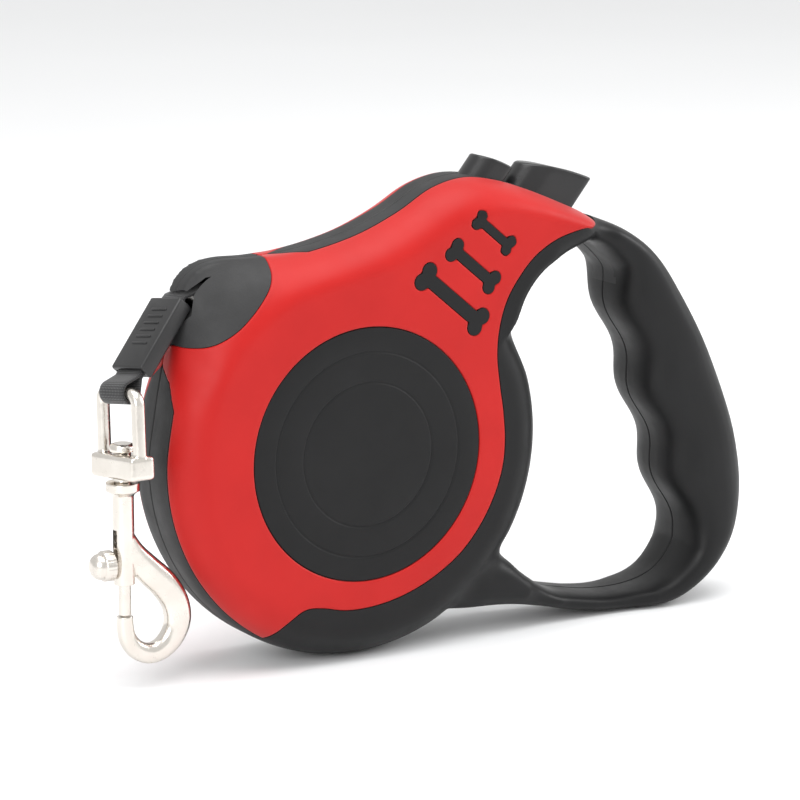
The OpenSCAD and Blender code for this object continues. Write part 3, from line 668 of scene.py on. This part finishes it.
def is_red(at):
    """True where a place on the side belongs to the red skin, the disc included."""
    xz = at[:, [0, 2]]
    red = inside(xz, red_field) & ~inside(xz, nose_field)
    red &= np.abs(at[:, 1]) > strip_half(at[:, 0], at[:, 2])
    for bone in bone_edges:
        red &= ~inside(xz, bone)
    return red


# %% [markdown]
# The plan is triangulated with every edge as a fixed line. Rows of points at 0.12, 0.3 and 0.6 mm beside
# the lines carry the lip's rounding, and a coarser grid fills the rest.


# %% Triangulate the plan
def beside(line, closed, step, offsets):
    """Rows of points beside a line, on both sides of it."""
    p = resample(line, step, closed)
    ahead = np.roll(p, -1, axis=0) - np.roll(p, 1, axis=0) if closed else np.gradient(p, axis=0)
    normal = np.stack([-ahead[:, 1], ahead[:, 0]], axis=1) / np.linalg.norm(ahead, axis=1)[:, None]
    return p, np.concatenate([p + normal * o * s for o in offsets for s in (-1, 1)]), np.tile(
        np.repeat(offsets, 2)[:, None], (1, len(p))).ravel()


def distance_to(points, starts, ends):
    """Distance from each point to the nearest segment."""
    out = []
    way = ends - starts
    square = np.maximum((way**2).sum(1), 1e-12)
    for block in np.array_split(points, max(1, len(points) // 800)):
        d = block[:, None, :] - starts[None]
        t = np.clip((d * way[None]).sum(2) / square[None], 0, 1)
        out.append(np.sqrt(((d - t[:, :, None] * way[None]) ** 2).sum(2).min(1)))
    return np.concatenate(out)


LIP_ROWS = np.array([0.12, 0.3, 0.6])


def side_plan(holes=()):
    """The triangulated plan of one side."""
    lines = [(strip_edge, True), (unroll(resample(red_edge, 0.6)), False),
             (unroll(resample(nose_edge, 0.6)), False), (disc_edge, True)]
    lines += [(unroll(resample(bone, 0.4, True)), True) for bone in bone_edges]
    lines += [(unroll(hole), True) for hole in holes]
    verts, links, rows, gaps, starts, ends = [], [], [], [], [], []
    for line, closed in lines:
        p, near, gap = beside(line, closed, 0.55, LIP_ROWS)
        n, first = len(p), sum(len(v) for v in verts)
        verts.append(p)
        links += [(first + i, first + (i + 1) % n) for i in range(n if closed else n - 1)]
        starts.append(p if closed else p[:-1])
        ends.append(np.roll(p, -1, axis=0) if closed else p[1:])
        rows.append(near)
        gaps.append(gap)
    starts, ends = np.concatenate(starts), np.concatenate(ends)
    rows, gaps = np.concatenate(rows), np.concatenate(gaps)
    rows = rows[distance_to(rows, starts, ends) > gaps * 0.93]
    low, high = strip_edge.min(0) - 1, strip_edge.max(0) + 1
    gx, gz = np.meshgrid(np.arange(low[0], high[0], 1.25), np.arange(low[1], high[1], 1.08))
    gx[1::2] += 0.62
    grid = np.stack([gx.ravel(), gz.ravel()], axis=1)
    grid = grid[distance_to(grid, starts, ends) > 1.1]
    grid = grid[inside(grid, strip_edge)]
    rows = rows[inside(rows, strip_edge)]
    every = np.concatenate([*verts, rows, grid])
    out = delaunay_2d_cdt([Vector(v) for v in every], links, [], 0, 1e-5)
    plan = np.array([v[:] for v in out[0]])
    tris = np.array([t for t in out[2] if len(t) == 3])
    way = plan[tris]
    turn = np.cross(way[:, 1] - way[:, 0], way[:, 2] - way[:, 0])
    tris = tris[np.abs(turn) > 1e-7]
    turn = turn[np.abs(turn) > 1e-7]
    tris[turn < 0] = tris[turn < 0][:, ::-1]
    middle = plan[tris].mean(1)
    keep = inside(middle, strip_edge)
    return plan, tris[keep], middle[keep]


def border(tris):
    """Directed edges that only one triangle has."""
    e = np.concatenate([tris[:, [0, 1]], tris[:, [1, 2]], tris[:, [2, 0]]])
    seen = {tuple(k) for k in e}
    return np.array([k for k in e if (k[1], k[0]) not in seen])


def sheet(name, side, plan, tris, lip, gap, outer, inner):
    """A closed sheet that follows the side, from outer to inner millimetres under the surface."""
    used, flat = np.unique(tris, return_inverse=True)
    tris, plan = flat.reshape(tris.shape), plan[used].copy()
    rim = border(tris)
    room = distance_to(plan, plan[rim[:, 0]], plan[rim[:, 1]])
    at = wrap(plan)
    across = np.cross(at[tris[:, 1]] - at[tris[:, 0]], at[tris[:, 2]] - at[tris[:, 0]])
    normal = np.zeros_like(at)
    for k in range(3):
        np.add.at(normal, tris[:, k], across)
    normal /= np.linalg.norm(normal, axis=1)[:, None]
    if normal[:, 1].mean() > 0:
        normal, tris, rim = -normal, tris[:, ::-1], rim[:, ::-1]
    drop = np.where(room < lip, lip - np.sqrt(np.maximum(lip**2 - (lip - room) ** 2, 0)), 0)
    if gap:
        way = plan[rim[:, 1]] - plan[rim[:, 0]]
        inward = np.stack([-way[:, 1], way[:, 0]], axis=1)
        inward /= np.linalg.norm(inward, axis=1)[:, None]
        pull = np.zeros_like(plan)
        np.add.at(pull, rim[:, 0], inward)
        np.add.at(pull, rim[:, 1], inward)
        size = np.linalg.norm(pull, axis=1)
        moved = size > 1e-6
        plan[moved] += gap * pull[moved] / size[moved][:, None]
        at = wrap(plan)
    top = at - normal * (drop + outer)[:, None]
    under = at - normal * inner
    n = len(at)
    faces = [tuple(t) for t in tris] + [tuple(int(v) + n for v in t[::-1]) for t in tris]
    faces += [(int(b), int(a), int(a) + n, int(b) + n) for a, b in rim]
    points = np.concatenate([top, under])
    points[:, 1] *= -side
    return solid(name, points, faces)


# %% Red skins and the pockets that they lie in
SKIN_LIP, SKIN_GAP, SKIN_DEPTH = 0.42, 0.05, 1.2
POCKET_PROUD, POCKET_DEPTH = 0.7, 1.27
SCREW_HOLE_R = 2.9
turns = np.radians(np.arange(0, 360, 12))
holes = [np.stack([sx + SCREW_HOLE_R * np.cos(turns), sz + SCREW_HOLE_R * np.sin(turns)], axis=1)
         for sx, sz in SCREWS[2:]]
skins, pockets = {}, {}
for side, name, cuts in ((-1, "left", ()), (1, "right", holes)):
    plan, tris, middle = side_plan(cuts)
    red = is_red(wrap(middle))
    for hole in cuts:
        red &= ~inside(wrap(middle)[:, [0, 2]], hole)
    disc = np.linalg.norm(middle, axis=1) < CAP_R
    skins[name] = sheet(name + "_red_skin", side, plan, tris[red & ~disc], SKIN_LIP, SKIN_GAP, 0.0,
                        SKIN_DEPTH)
    pockets[name] = sheet(name + "_pocket", side, plan, tris[red], 0.0, 0.0, -POCKET_PROUD, POCKET_DEPTH)

# %% [markdown]
# ## Two shells
# The fused body is split at the seam plane. The rim of each half is rounded a little, which is what makes
# the fine dark line round a real casing, and then the hollow and the openings are cut.


# %% Split at the seam
def prism(name, outline_xz, y0, y1):
    """A solid from an outline in the side view between two depths."""
    p = np.asarray(outline_xz, float)
    return solid(name, *loft([np.stack([p[:, 0], np.full(len(p), y), p[:, 1]], axis=1) for y in (y0, y1)]))


def drum(name, r, y0, y1, x=0.0, z=0.0, n=64):
    """A plain cylinder across the casing."""
    a = np.linspace(0, 2 * np.pi, n, endpoint=False)
    return prism(name, np.stack([x + r * np.cos(a), z + r * np.sin(a)], axis=1), y0, y1)


def shifted(line, distance):
    """A closed line moved inward."""
    way = np.roll(line, -1, axis=0) - np.roll(line, 1, axis=0)
    way /= np.linalg.norm(way, axis=1)[:, None]
    return line + distance * np.stack([-way[:, 1], way[:, 0]], axis=1)


SEAM_GAP, SEAM_LIP = 0.05, 0.4
SHOULDER_SLOPE = 0.4327


def half_body(name, side):
    """One half of the fused body, closed at the seam plane with a rounded rim."""
    obj = bpy.data.objects.new(name, body.data.copy())
    bpy.context.scene.collection.objects.link(obj)
    bm = bmesh.new()
    bm.from_mesh(obj.data)
    for at in (SEAM_LIP, 0.22, 0.11, SEAM_GAP):
        bmesh.ops.bisect_plane(
            bm, geom=[*bm.verts, *bm.edges, *bm.faces], dist=1e-7, plane_co=(0, side * at / 1000, 0),
            plane_no=(0, -side, 0), clear_outer=at == SEAM_GAP)
    bm.verts.ensure_lookup_table()
    bm.normal_update()
    moved = []
    for v in bm.verts:
        near = abs(v.co.y) * 1000 - SEAM_GAP
        if near < SEAM_LIP - SEAM_GAP - 1e-5:
            r = SEAM_LIP - SEAM_GAP
            flat = Vector((v.normal.x, 0, v.normal.z))
            if flat.length > 0.3:
                moved.append((v, flat.normalized() * (r - math.sqrt(max(r * r - (r - near) ** 2, 0))) / 1000))
    for v, way in moved:
        v.co -= way
    rim = [e for e in bm.edges if e.is_boundary]
    bmesh.ops.triangle_fill(bm, use_beauty=True, edges=rim)
    bmesh.ops.recalc_face_normals(bm, faces=bm.faces)
    bm.to_mesh(obj.data)
    bm.free()
    return obj


# %% Cutters
def button_outline(length, width):
    """A button seen along its travel: straight at the back, rounded at the front."""
    corners = [(length, -width), (length, width), (-length * 0.35, width), (-length * 0.8, width * 0.72),
               (-length, width * 0.3), (-length, -width * 0.3), (-length * 0.8, -width * 0.72),
               (-length * 0.35, -width)]
    line = resample(corners, 0.35, True)
    for _ in range(10):
        line = 0.5 * line + 0.25 * (np.roll(line, 1, axis=0) + np.roll(line, -1, axis=0))
    return line * [length / line[:, 0].max(), width / line[:, 1].max()]


def well(name, frame_of, length, width, floor, slope):
    """The hole that a button slides in, with a floor that follows the shoulder."""
    line = button_outline(length, width)
    low = np.column_stack([line, floor + slope * line[:, 0]])
    high = np.column_stack([line, np.full(len(line), 20.0)])
    return place(solid(name, *loft([low, high]), placed=True), frame_of)


def box(name, low, high, frame_of=None):
    """A plain box between two corners, used only as a cutter or a blank."""
    x0, y0, z0 = low
    x1, y1, z1 = high
    rings = [np.array([[x0, y0, z], [x1, y0, z], [x1, y1, z], [x0, y1, z]], float) for z in (z0, z1)]
    if frame_of is None:
        return solid(name, *loft(rings))
    return place(solid(name, *loft(rings), placed=True), frame_of)


def cutters():
    """Everything that is cut out of a shell besides the pocket."""
    neck = [[36, 22], [38.5, 30], [43, 38], [49, 41.8], [54, 43.8], [53, 46], [44.4, 49.5], [36, 52.3],
            [28.4, 53.4], [21, 51.8], [13.6, 47.4], [4.6, 43.6], [-4.6, 41.3], [-13.6, 39.8], [-13.6, 20]]
    return [
        drum("chamber", 38.6, -11.2, 11.2, n=96),
        drum("belly", 42.2, -8.6, 8.6, n=96),
        prism("neck", neck, -8.5, 8.5),
        prism("throat", [[12, 37.5], [-12, 40.4], [-28, 41.4], [-34.4, 40.5], [-37.4, 38.6], [-39.6, 37],
                         [-39.8, 35], [-36.6, 33.4], [-33.2, 32.4], [-24, 28], [0, 20]], -4.6, 4.6),
        *button_wells(),
        box("mouth", (-2.2, -5.5, -4.25), (47.8, 5.5, 35.75), bumper_frame),
    ]


def button_wells():
    """The two wells alone, which also notch the skins."""
    return [well("brake_well", brake_frame, 8.25, 5.35, -7.8, SHOULDER_SLOPE),
            well("lock_well", lock_frame, 4.5, 4.3, -7.8, 0.0)]


# %% Cut the shells
shells = {}
for side, name in ((-1, "left"), (1, "right")):
    combine(skins[name], button_wells())
    shade(dress(skins[name], red_soft, "soft_red", "casing", name + "_skin"), 50)
    shell = half_body(name + "_black_shell", side)
    tools = [pockets[name], *cutters()]
    if side > 0:
        tools += [drum("screw_well", 2.4, 5.6, 16, sx, sz, 40) for sx, sz in SCREWS]
    shells[name] = combine(shell, tools)
    dress(shell, black_satin, "casing_black", "casing", name + "_shell")
    shell.data.materials.append(black_grain)
    middle = np.array([p.center for p in shell.data.polygons]) * 1000 - SPOOL_AXIS
    xz = middle[:, [0, 2]]
    strip = strip_half(xz[:, 0], xz[:, 1])
    grained = ((np.abs(middle[:, 1]) < strip) & (strip > 0.5)) | (inside(xz, nose_field) & (xz[:, 1] > 15))
    shell.data.polygons.foreach_set("material_index", grained.astype(np.int32))
    shade(shell, 38)
bpy.data.objects.remove(body)

# %% [markdown]
# ## Side caps
# The round cap on each side is a separate disc with two very fine rings turned in it. A lathe profile with
# a rounded rim, swept round, is the plainest way to make a turned or moulded disc.


# %% Lathe
def lathe(name, profile, steps=96, frame_of=None):
    """Sweeps (radius, height) round local Z, closed on the axis at both ends."""
    a = np.linspace(0, 2 * np.pi, steps, endpoint=False)
    rings = [np.stack([r * np.cos(a), r * np.sin(a), np.full(steps, h)], axis=1)
             for r, h in profile]
    points, faces = loft(rings, ends=False)
    points = np.concatenate([points, [[0, 0, profile[0][1]], [0, 0, profile[-1][1]]]])
    last, n = (len(rings) - 1) * steps, len(points)
    faces += [(n - 2, (i + 1) % steps, i) for i in range(steps)]
    faces += [(n - 1, last + i, last + (i + 1) % steps) for i in range(steps)]
    obj = solid(name, points, faces, placed=True)
    return place(obj, frame_of) if frame_of is not None else obj


def arc(cx, cz, r, start, end, n=5):
    """Points on an arc in a lathe profile."""
    return [(cx + r * math.cos(t), cz + r * math.sin(t)) for t in np.radians(np.linspace(start, end, n))]


for side, name in ((-1, "left"), (1, "right")):
    profile = [(CAP_R - 0.06, 0.0), *arc(CAP_R - 0.41, 0.79, 0.35, 0, 90)]
    for groove in (22.6, 15.9):
        profile += [(groove + 0.55, 1.16), (groove + 0.3, 1.13), (groove + 0.16, 1.0), (groove, 0.95),
                    (groove - 0.16, 1.0), (groove - 0.3, 1.13), (groove - 0.55, 1.16)]
    profile += [(8, 1.18), (1, 1.18)]
    cap = lathe(name + "_round_cap", profile, 144,
                at_frame((0, side * 12.27, 0), (1, 0, 0), (0, 0, -side), (0, side, 0)))
    shade(dress(cap, black_cap, "cap_black", "casing", name + "_cap"), 60)

# %% [markdown]
# ## Buttons
# Both buttons stand out of the shoulder, leaning back towards the hand. Their tops are gently crowned
# and slope down towards the hand. Each is a stack of rings of one outline, drawn in at the rim.


# %% Buttons
def button(name, length, width, low, top, floor_slope, frame_of, edge=0.55):
    """A button whose top height is given by top(x)."""
    line = button_outline(length, width)
    rings = [np.column_stack([line, low + floor_slope * line[:, 0]])]
    for share_up in (0.3, 0.6, 0.9):
        base = low + floor_slope * line[:, 0]
        rings.append(np.column_stack([line, base + (top(line[:, 0]) - edge - base) * share_up]))
    for a in np.radians(np.linspace(0, 90, 6)):
        small = shifted(line, edge * (1 - math.cos(a)))
        rings.append(np.column_stack([small, top(small[:, 0]) - edge * (1 - math.sin(a))]))
    rim = shifted(line, edge)
    for scale in (0.9, 0.75, 0.55, 0.35, 0.15):
        rings.append(np.column_stack([rim * scale, top(rim[:, 0] * scale)]))
    return place(solid(name, *loft(rings), placed=True), frame_of)


def crown(radius, x, z):
    """A top that follows a large circle about (x, z)."""
    return lambda along: np.sqrt(radius**2 - (along - x) ** 2) + z


brake = button("brake_thumb_button", 7.9, 5.0, -3.9, crown(60, 24.2, -46.3), SHOULDER_SLOPE, brake_frame)
stem = lathe("brake_stem", [(2.6, -28.5), (2.6, -21.5), (3.6, -21.45), (3.6, -20.1), (2.6, -20.05), (2.6, -7),
                            (4.2, -6.9), (4.2, 2)], 40, brake_frame)
combine(brake, stem, "UNION")
shade(dress(brake, black_gloss, "button_black", "brake", "brake_button"), 40)
lock = button("lock_thumb_button", 4.2, 4.0, -4.0, crown(30, 8.65, -22.1), 0.0, lock_frame, 0.45)
stem = lathe("lock_stem", [(1.6, -22), (1.6, -3)], 32, lock_frame)
foot = box("lock_foot", (-1.6, -3, -23.5), (10, 3, -21.7), lock_frame)
combine(lock, [stem, foot], "UNION")
shade(dress(lock, black_gloss, "button_black", "lock", "lock_button"), 40)

# %% [markdown]
# ## Bumper
# The bumper stops the tape's end at the mouth. It is a small hollow moulding with rounded edges and six low
# ribs to grip. A blank box takes a bevel, and the slot for the tape is cut after it so its mouth stays sharp.

# %% Bumper
bumper = box("tape_bumper", (0, -BUMPER_W / 2, -BUMPER_T), (BUMPER_L, BUMPER_W / 2, 0), bumper_frame)
rounded(bumper, 0.55, 4)
ribs = []
for i in range(6):
    rib = box("rib", (3 + 1.75 * i, -2.4, -0.3), (3.55 + 1.75 * i, 2.4, 0.26), bumper_frame)
    ribs.append(rounded(rib, 0.2, 3))
combine(bumper, ribs, "UNION")
combine(bumper, box("tape_slot", (-1, -4.15, -2.75), (BUMPER_L + 1, 4.15, -1.05), bumper_frame))
shade(dress(bumper, black_bumper, "bumper_black", "tape_end", "bumper"), 40)

# %% [markdown]
# ## Swivel ring and snap hook
# These are small castings: rods and blocks that melt into each other with no hard inner corners. Each is
# blocked out from a swept rod and turned parts, fused by a fine voxel remesh and relaxed a little. The
# bores are cut after that.


# %% Castings
def swept(name, centres, in_plane, out_plane, radii, sides=28, power=1.0, frame_of=None):
    """A rod along centres; each ring is spanned by its two directions and radii."""
    a = np.linspace(0, 2 * np.pi, sides, endpoint=False)
    ca = np.sign(np.cos(a)) * np.abs(np.cos(a)) ** power
    sa = np.sign(np.sin(a)) * np.abs(np.sin(a)) ** power
    rings = [c + np.outer(ca * r[0], u) + np.outer(sa * r[1], v)
             for c, u, v, r in zip(centres, in_plane, out_plane, radii)]
    obj = solid(name, *loft(rings), placed=frame_of is not None)
    return place(obj, frame_of) if frame_of is not None else obj


def cast(obj, others, voxel, rounds):
    """Fuses solids into one casting and softens it."""
    work = bmesh.new()
    for part in [obj, *others]:
        work.from_mesh(part.data)
    work.to_mesh(obj.data)
    work.free()
    for part in others:
        bpy.data.objects.remove(part)
    remesh = obj.modifiers.new("cast", "REMESH")
    remesh.mode = "VOXEL"
    remesh.voxel_size = voxel / 1000
    apply_modifiers(obj)
    soften = obj.modifiers.new("soften", "SMOOTH")
    soften.factor, soften.iterations = 0.5, rounds
    return apply_modifiers(obj)


# %% Swivel ring
BEND, BAR_R = 2.4, 1.4
path = [(RING_BOTTOM - 1.2, -RING_W / 2), (BEND + 4, -RING_W / 2)]
path += [(BEND - BEND * math.sin(t), -RING_W / 2 + BEND - BEND * math.cos(t))
         for t in np.radians(np.arange(0, 91, 10))]
path += [(x, -y) for x, y in path[::-1]]
path = resample(path, 0.5)
way = heading(path)
centres = np.column_stack([path, np.zeros(len(path))])
side_way = np.column_stack([-way[:, 1], way[:, 0], np.zeros(len(path))])
ring = swept("swivel_ring_casting", centres, side_way, [(0, 0, 1)] * len(path), [(1.25, BAR_R)] * len(path),
             power=0.8, frame_of=ring_frame)
block = rounded(box("ring_block", (RING_BOTTOM - BLOCK_H, -RING_W / 2 - 1.4, -3.0),
                    (RING_BOTTOM, RING_W / 2 + 1.4, 3.0), ring_frame), 0.9, 4)
cast(ring, [block], 0.19, 4)
combine(ring, lathe("ring_bore", [(1.95, -3), (1.95, 10)], 48, hook_frame))
shade(dress(ring, nickel, "nickel", "ring", "swivel_ring"), 45)

# %% Snap hook: stations of x, z, half width in the plane and half thickness
bow_stations = [
    [0.2, -12.5, 2.1, 2], [2.2, -16.4, 2.7, 2.1], [5.6, -20.3, 3.1, 2.2], [9.1, -23.8, 3.2, 2.3],
    [11.6, -27.8, 3.1, 2.3], [12.3, -32, 3, 2.3], [10.9, -35.6, 2.7, 2.2], [8.2, -38, 2.4, 2.1],
    [5.2, -38.5, 2.25, 2], [2.4, -37.2, 2.1, 1.9], [0.5, -34.6, 1.9, 1.8], [0, -31.8, 1.75, 1.7],
    [0, -29.65, 1.7, 1.65]]
bow = smooth(bow_stations, 8)
way = heading(bow[:, :2])
hook = swept("snap_hook_casting", np.column_stack([bow[:, 0], np.zeros(len(bow)), bow[:, 1]]),
             np.column_stack([-way[:, 1], np.zeros(len(bow)), way[:, 0]]), [(0, 1, 0)] * len(bow), bow[:, 2:],
             power=0.88, frame_of=hook_frame)
shank = lathe("shank", [(2.28, -22.7), (2.28, -3.4), (3.1, -2.6), (3.65, -2.4), (3.65, -0.6), (1.8, -0.4),
                        (1.8, 5.95), (2.7, 6.1), (2.85, 6.6), (2.7, 7.3), (1.9, 7.8)], 56, hook_frame)
cast(hook, [shank], 0.17, 3)
combine(hook, [lathe("bolt_bore", [(1.4, -26), (1.4, -6)], 40, hook_frame),
               box("stud_slot", (-6, -1, -19.3), (0, 1, -10.7), hook_frame),
               lathe("gate", [(2.7, -28.9), (2.7, -22.9)], 48, hook_frame)])
shade(dress(hook, nickel, "nickel", "hook", "hook_body"), 45)

# %% Thumb bolt: a turned pin with a knurled, domed stud
bolt = lathe("thumb_bolt_pin", [(1.1, -29.5), *arc(1.05, -29.2, 0.3, -90, 0, 4), (1.35, -15.4),
                                *arc(1.05, -15.3, 0.3, 0, 90, 4)], 48, hook_frame)
KNURLS, KNURL_DEPTH = 24, 0.035
stud_frame = at_frame(hook_at + np.array([0, 0, -18.2]), (0, 0, 1), (0, 1, 0), (-1, 0, 0))
stud_profile = [(0.85, 0), (0.85, 2.75), (2.9, 2.8), (3.3, 3.1), (3.3, 5.0), (3.05, 5.3), (2.85, 5.4),
                *arc(0.6, 5.5, 2.25, 5, 85, 9), (0.2, 7.78)]
stud = lathe("stud", stud_profile, 96, stud_frame)
inverse = stud_frame.inverted()
for v in stud.data.vertices:
    at = inverse @ v.co
    if 2.95 < at.z < 5.05 and math.hypot(at.x, at.y) > 3.2:
        at.xy = at.xy * (1 - KNURL_DEPTH * (0.5 + 0.5 * math.cos(KNURLS * math.atan2(at.y, at.x))))
        v.co = stud_frame @ at
combine(bolt, stud, "UNION")
shade(dress(bolt, nickel_lines, "nickel", "bolt", "thumb_bolt"), 40)

# %% [markdown]
# ## The tape
# The tape is one flat strip 8 mm wide. Its end is folded round the ring's bar and held inside the
# bumper. The free run goes from the winding, over the guide pin and into the bumper; it stretches between
# the casing and the bumper when the leash is drawn out, and its width turns from the casing's to the
# bumper's as it enters the bumper.

# %% Strips
TAPE_W, TAPE_T = 8.0, 0.65


def strip(name, stations, thickness=TAPE_T):
    """A flat strip through stations of (point, across), with a map for its weave in millimetres."""
    centres = np.array([s[0] for s in stations], float)
    cross = np.array([np.asarray(s[1], float) / np.linalg.norm(s[1]) for s in stations])
    face = np.cross(np.gradient(centres, axis=0), cross)
    face /= np.linalg.norm(face, axis=1)[:, None]
    h, t = TAPE_W / 2, thickness / 2
    upper = [(h - 0.12, t * 0.8), (h - 0.4, t), (h / 2, t), (0, t), (-h / 2, t), (-h + 0.4, t),
             (-h + 0.12, t * 0.8)]
    profile = [(-h, 0), *[(x, -y) for x, y in upper[::-1]], (h, 0), *upper]
    rings = [c + np.array([u * x + f * y for x, y in profile]) for c, u, f in zip(centres, cross, face)]
    obj = solid(name, *loft(rings))
    along = np.concatenate([[0], np.cumsum(np.linalg.norm(np.diff(centres, axis=0), axis=1))])
    n = len(profile)
    where = {i: (profile[i % n][0], along[i // n]) for i in range(n * len(rings))}
    layer = obj.data.uv_layers.new(name="weave")
    for item in obj.data.loops:
        layer.data[item.index].uv = where[item.vertex_index]
    return obj


def in_bumper(x, z):
    """A point in the bumper's own frame."""
    return BUMPER_AT + bumper_axes[0] * x + bumper_axes[2] * z


across = bumper_axes[1]
centre_z, eye_r = -BUMPER_T / 2, 1.9 + TAPE_T / 2
fold = [(x, centre_z + 0.36) for x in (5.5, 10, 15, 19.5)]
fold += [(BUMPER_L + 5 + eye_r * math.sin(t), centre_z + eye_r * math.cos(t))
         for t in np.radians(np.arange(-20, 201, 11))]
fold += [(x, centre_z - 0.36) for x in (19.5, 15, 10, 5.5)]
loop_piece = strip("folded_tape_end", [(in_bumper(x, z), across) for x, z in resample(fold, 0.6)])
shade(dress(loop_piece, webbing, "webbing", "tape_end", "tape_loop"), 60)

WIND_R, GUIDE, GUIDE_R = 31.9 + TAPE_T / 2 + 0.3, np.array([-33.6, 35.6]), 2.0 + TAPE_T / 2 + 0.06
leave = math.degrees(math.atan2(GUIDE[1], GUIDE[0]) - math.acos((WIND_R - GUIDE_R) / np.linalg.norm(GUIDE)))
run = [((WIND_R * math.cos(t), 0, WIND_R * math.sin(t)), (0, -1, 0))
       for t in np.radians(np.arange(leave - 16, leave + 1, 2))]
run += [((GUIDE[0] + GUIDE_R * math.cos(t), 0, GUIDE[1] + GUIDE_R * math.sin(t)), (0, -1, 0))
        for t in np.radians(np.arange(leave, 110, 4))]
run += [(in_bumper(x, centre_z), np.array([0, -1, 0]) * (1 - k) + across * k)
        for x, k in ((-1.6, 0.5), (-0.8, 0.7), (0, 0.9), (1.2, 1), (2.5, 1), (4, 1))]
free_tape = strip("free_tape_run", run)
free_tape.data.materials.append(webbing)
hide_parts("tape_run")
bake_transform(free_tape)
shade(free_tape, 60)

# %% [markdown]
# ## What stays from the mechanical model
# The spool, its cover, springs, pins, pawl and screws have their true shape already. They only need their
# finish: white nylon for the spool and pawl, steel for the springs and pins, wound tape on the core.
# Their meshes are left exactly as they come.


# %% Inner pieces
def wound_finish():
    """The edges of the tape's turns, seen from the side as fine rings."""
    material, tree, shader = finish_of("wound_tape", 0.8)
    where = tree.nodes.new("ShaderNodeTexCoord")
    move = tree.nodes.new("ShaderNodeMapping")
    move.inputs["Location"].default_value = (0.0202, 0, -0.0462)
    rings_node = tree.nodes.new("ShaderNodeTexWave")
    rings_node.wave_type, rings_node.rings_direction = "RINGS", "Y"
    rings_node.inputs["Scale"].default_value = 480
    rings_node.inputs["Distortion"].default_value = 1.5
    tree.links.new(where.outputs["Object"], move.inputs["Vector"])
    tree.links.new(move.outputs["Vector"], rings_node.inputs["Vector"])
    dark, light = (0.006, 0.006, 0.0065), (0.028, 0.028, 0.03)
    tree.links.new(ramp(tree, rings_node.outputs["Fac"], [(0, dark), (1, light)]), shader.inputs["Base Color"])
    bump(tree, shader, rings_node.outputs["Fac"], 0.6, 0.0001)
    return material


inner = {}
for material, names in (
        (spring_steel, ("arbor", "casing_screws", "guide_pin", "cover_screws", "power_spring", "brake_spring",
                        "lock_spring", "bolt_spring")),
        (white_nylon, ("spool_core", "spool_flange", "spring_cover", "brake_pawl")),
        (black_bumper, ("bumper_rivet",)),
        (wound_finish(), ("tape_winding",))):
    for name in names:
        inner[name] = material
        NODE[name].data.materials.clear()
        NODE[name].data.materials.append(material)
print("kept", len(inner), "nodes")

# %% [markdown]
# ## Floor and light
# A product table is a pale matt floor under broad soft boxes. The floor is one large sheet just under the
# leash, the room is an even white, and three soft boxes shape the highlights: one overhead and one on each
# side. Small lights would give hard glints and a hard shadow.


# %% Stage
def floor_finish():
    """Matt paper with barely visible clouds."""
    material, tree, shader = finish_of("paper_floor", 0.55)
    tree.links.new(ramp(tree, noise(tree, 3, 2), [(0.3, (0.86, 0.865, 0.87)), (0.7, (0.88, 0.885, 0.89))]),
                   shader.inputs["Base Color"])
    return material


FLOOR_HALF, FLOOR_Z = 9000, -46.25
floor = solid("paper_floor", [[FLOOR_HALF * x, FLOOR_HALF * y, FLOOR_Z]
                              for x, y in ((-1, -1), (1, -1), (1, 1), (-1, 1))], [(0, 1, 2, 3)])
floor.data.materials.append(floor_finish())
world = bpy.data.worlds.new("soft_room")
bpy.context.scene.world = world
world.use_nodes = True
background = world.node_tree.nodes["Background"]
background.inputs["Color"].default_value = (1, 1, 1, 1)
background.inputs["Strength"].default_value = 0.85
bpy.context.scene.view_settings.view_transform = "Standard"


def lamp(name, at, towards, size, watts, colour=(1, 1, 1)):
    """A square soft box that faces a point."""
    light = bpy.data.lights.new(name, "AREA")
    light.energy, light.size, light.color = watts, size, colour
    obj = bpy.data.objects.new(name, light)
    bpy.context.scene.collection.objects.link(obj)
    obj.location = at
    obj.rotation_mode = "QUATERNION"
    obj.rotation_quaternion = (Vector(towards) - Vector(at)).to_track_quat("-Z", "Y")
    return obj


lamp("overhead", (-0.05, -0.1, 0.95), (0, 0, 0.05), 0.8, 7)
lamp("left_box", (-0.95, -0.75, 0.6), (0, 0, 0.05), 0.7, 7)
lamp("right_box", (1.0, -0.3, 0.5), (0.02, 0, 0.05), 0.5, 5)
print("lit by", len(bpy.data.lights), "soft boxes and the room")
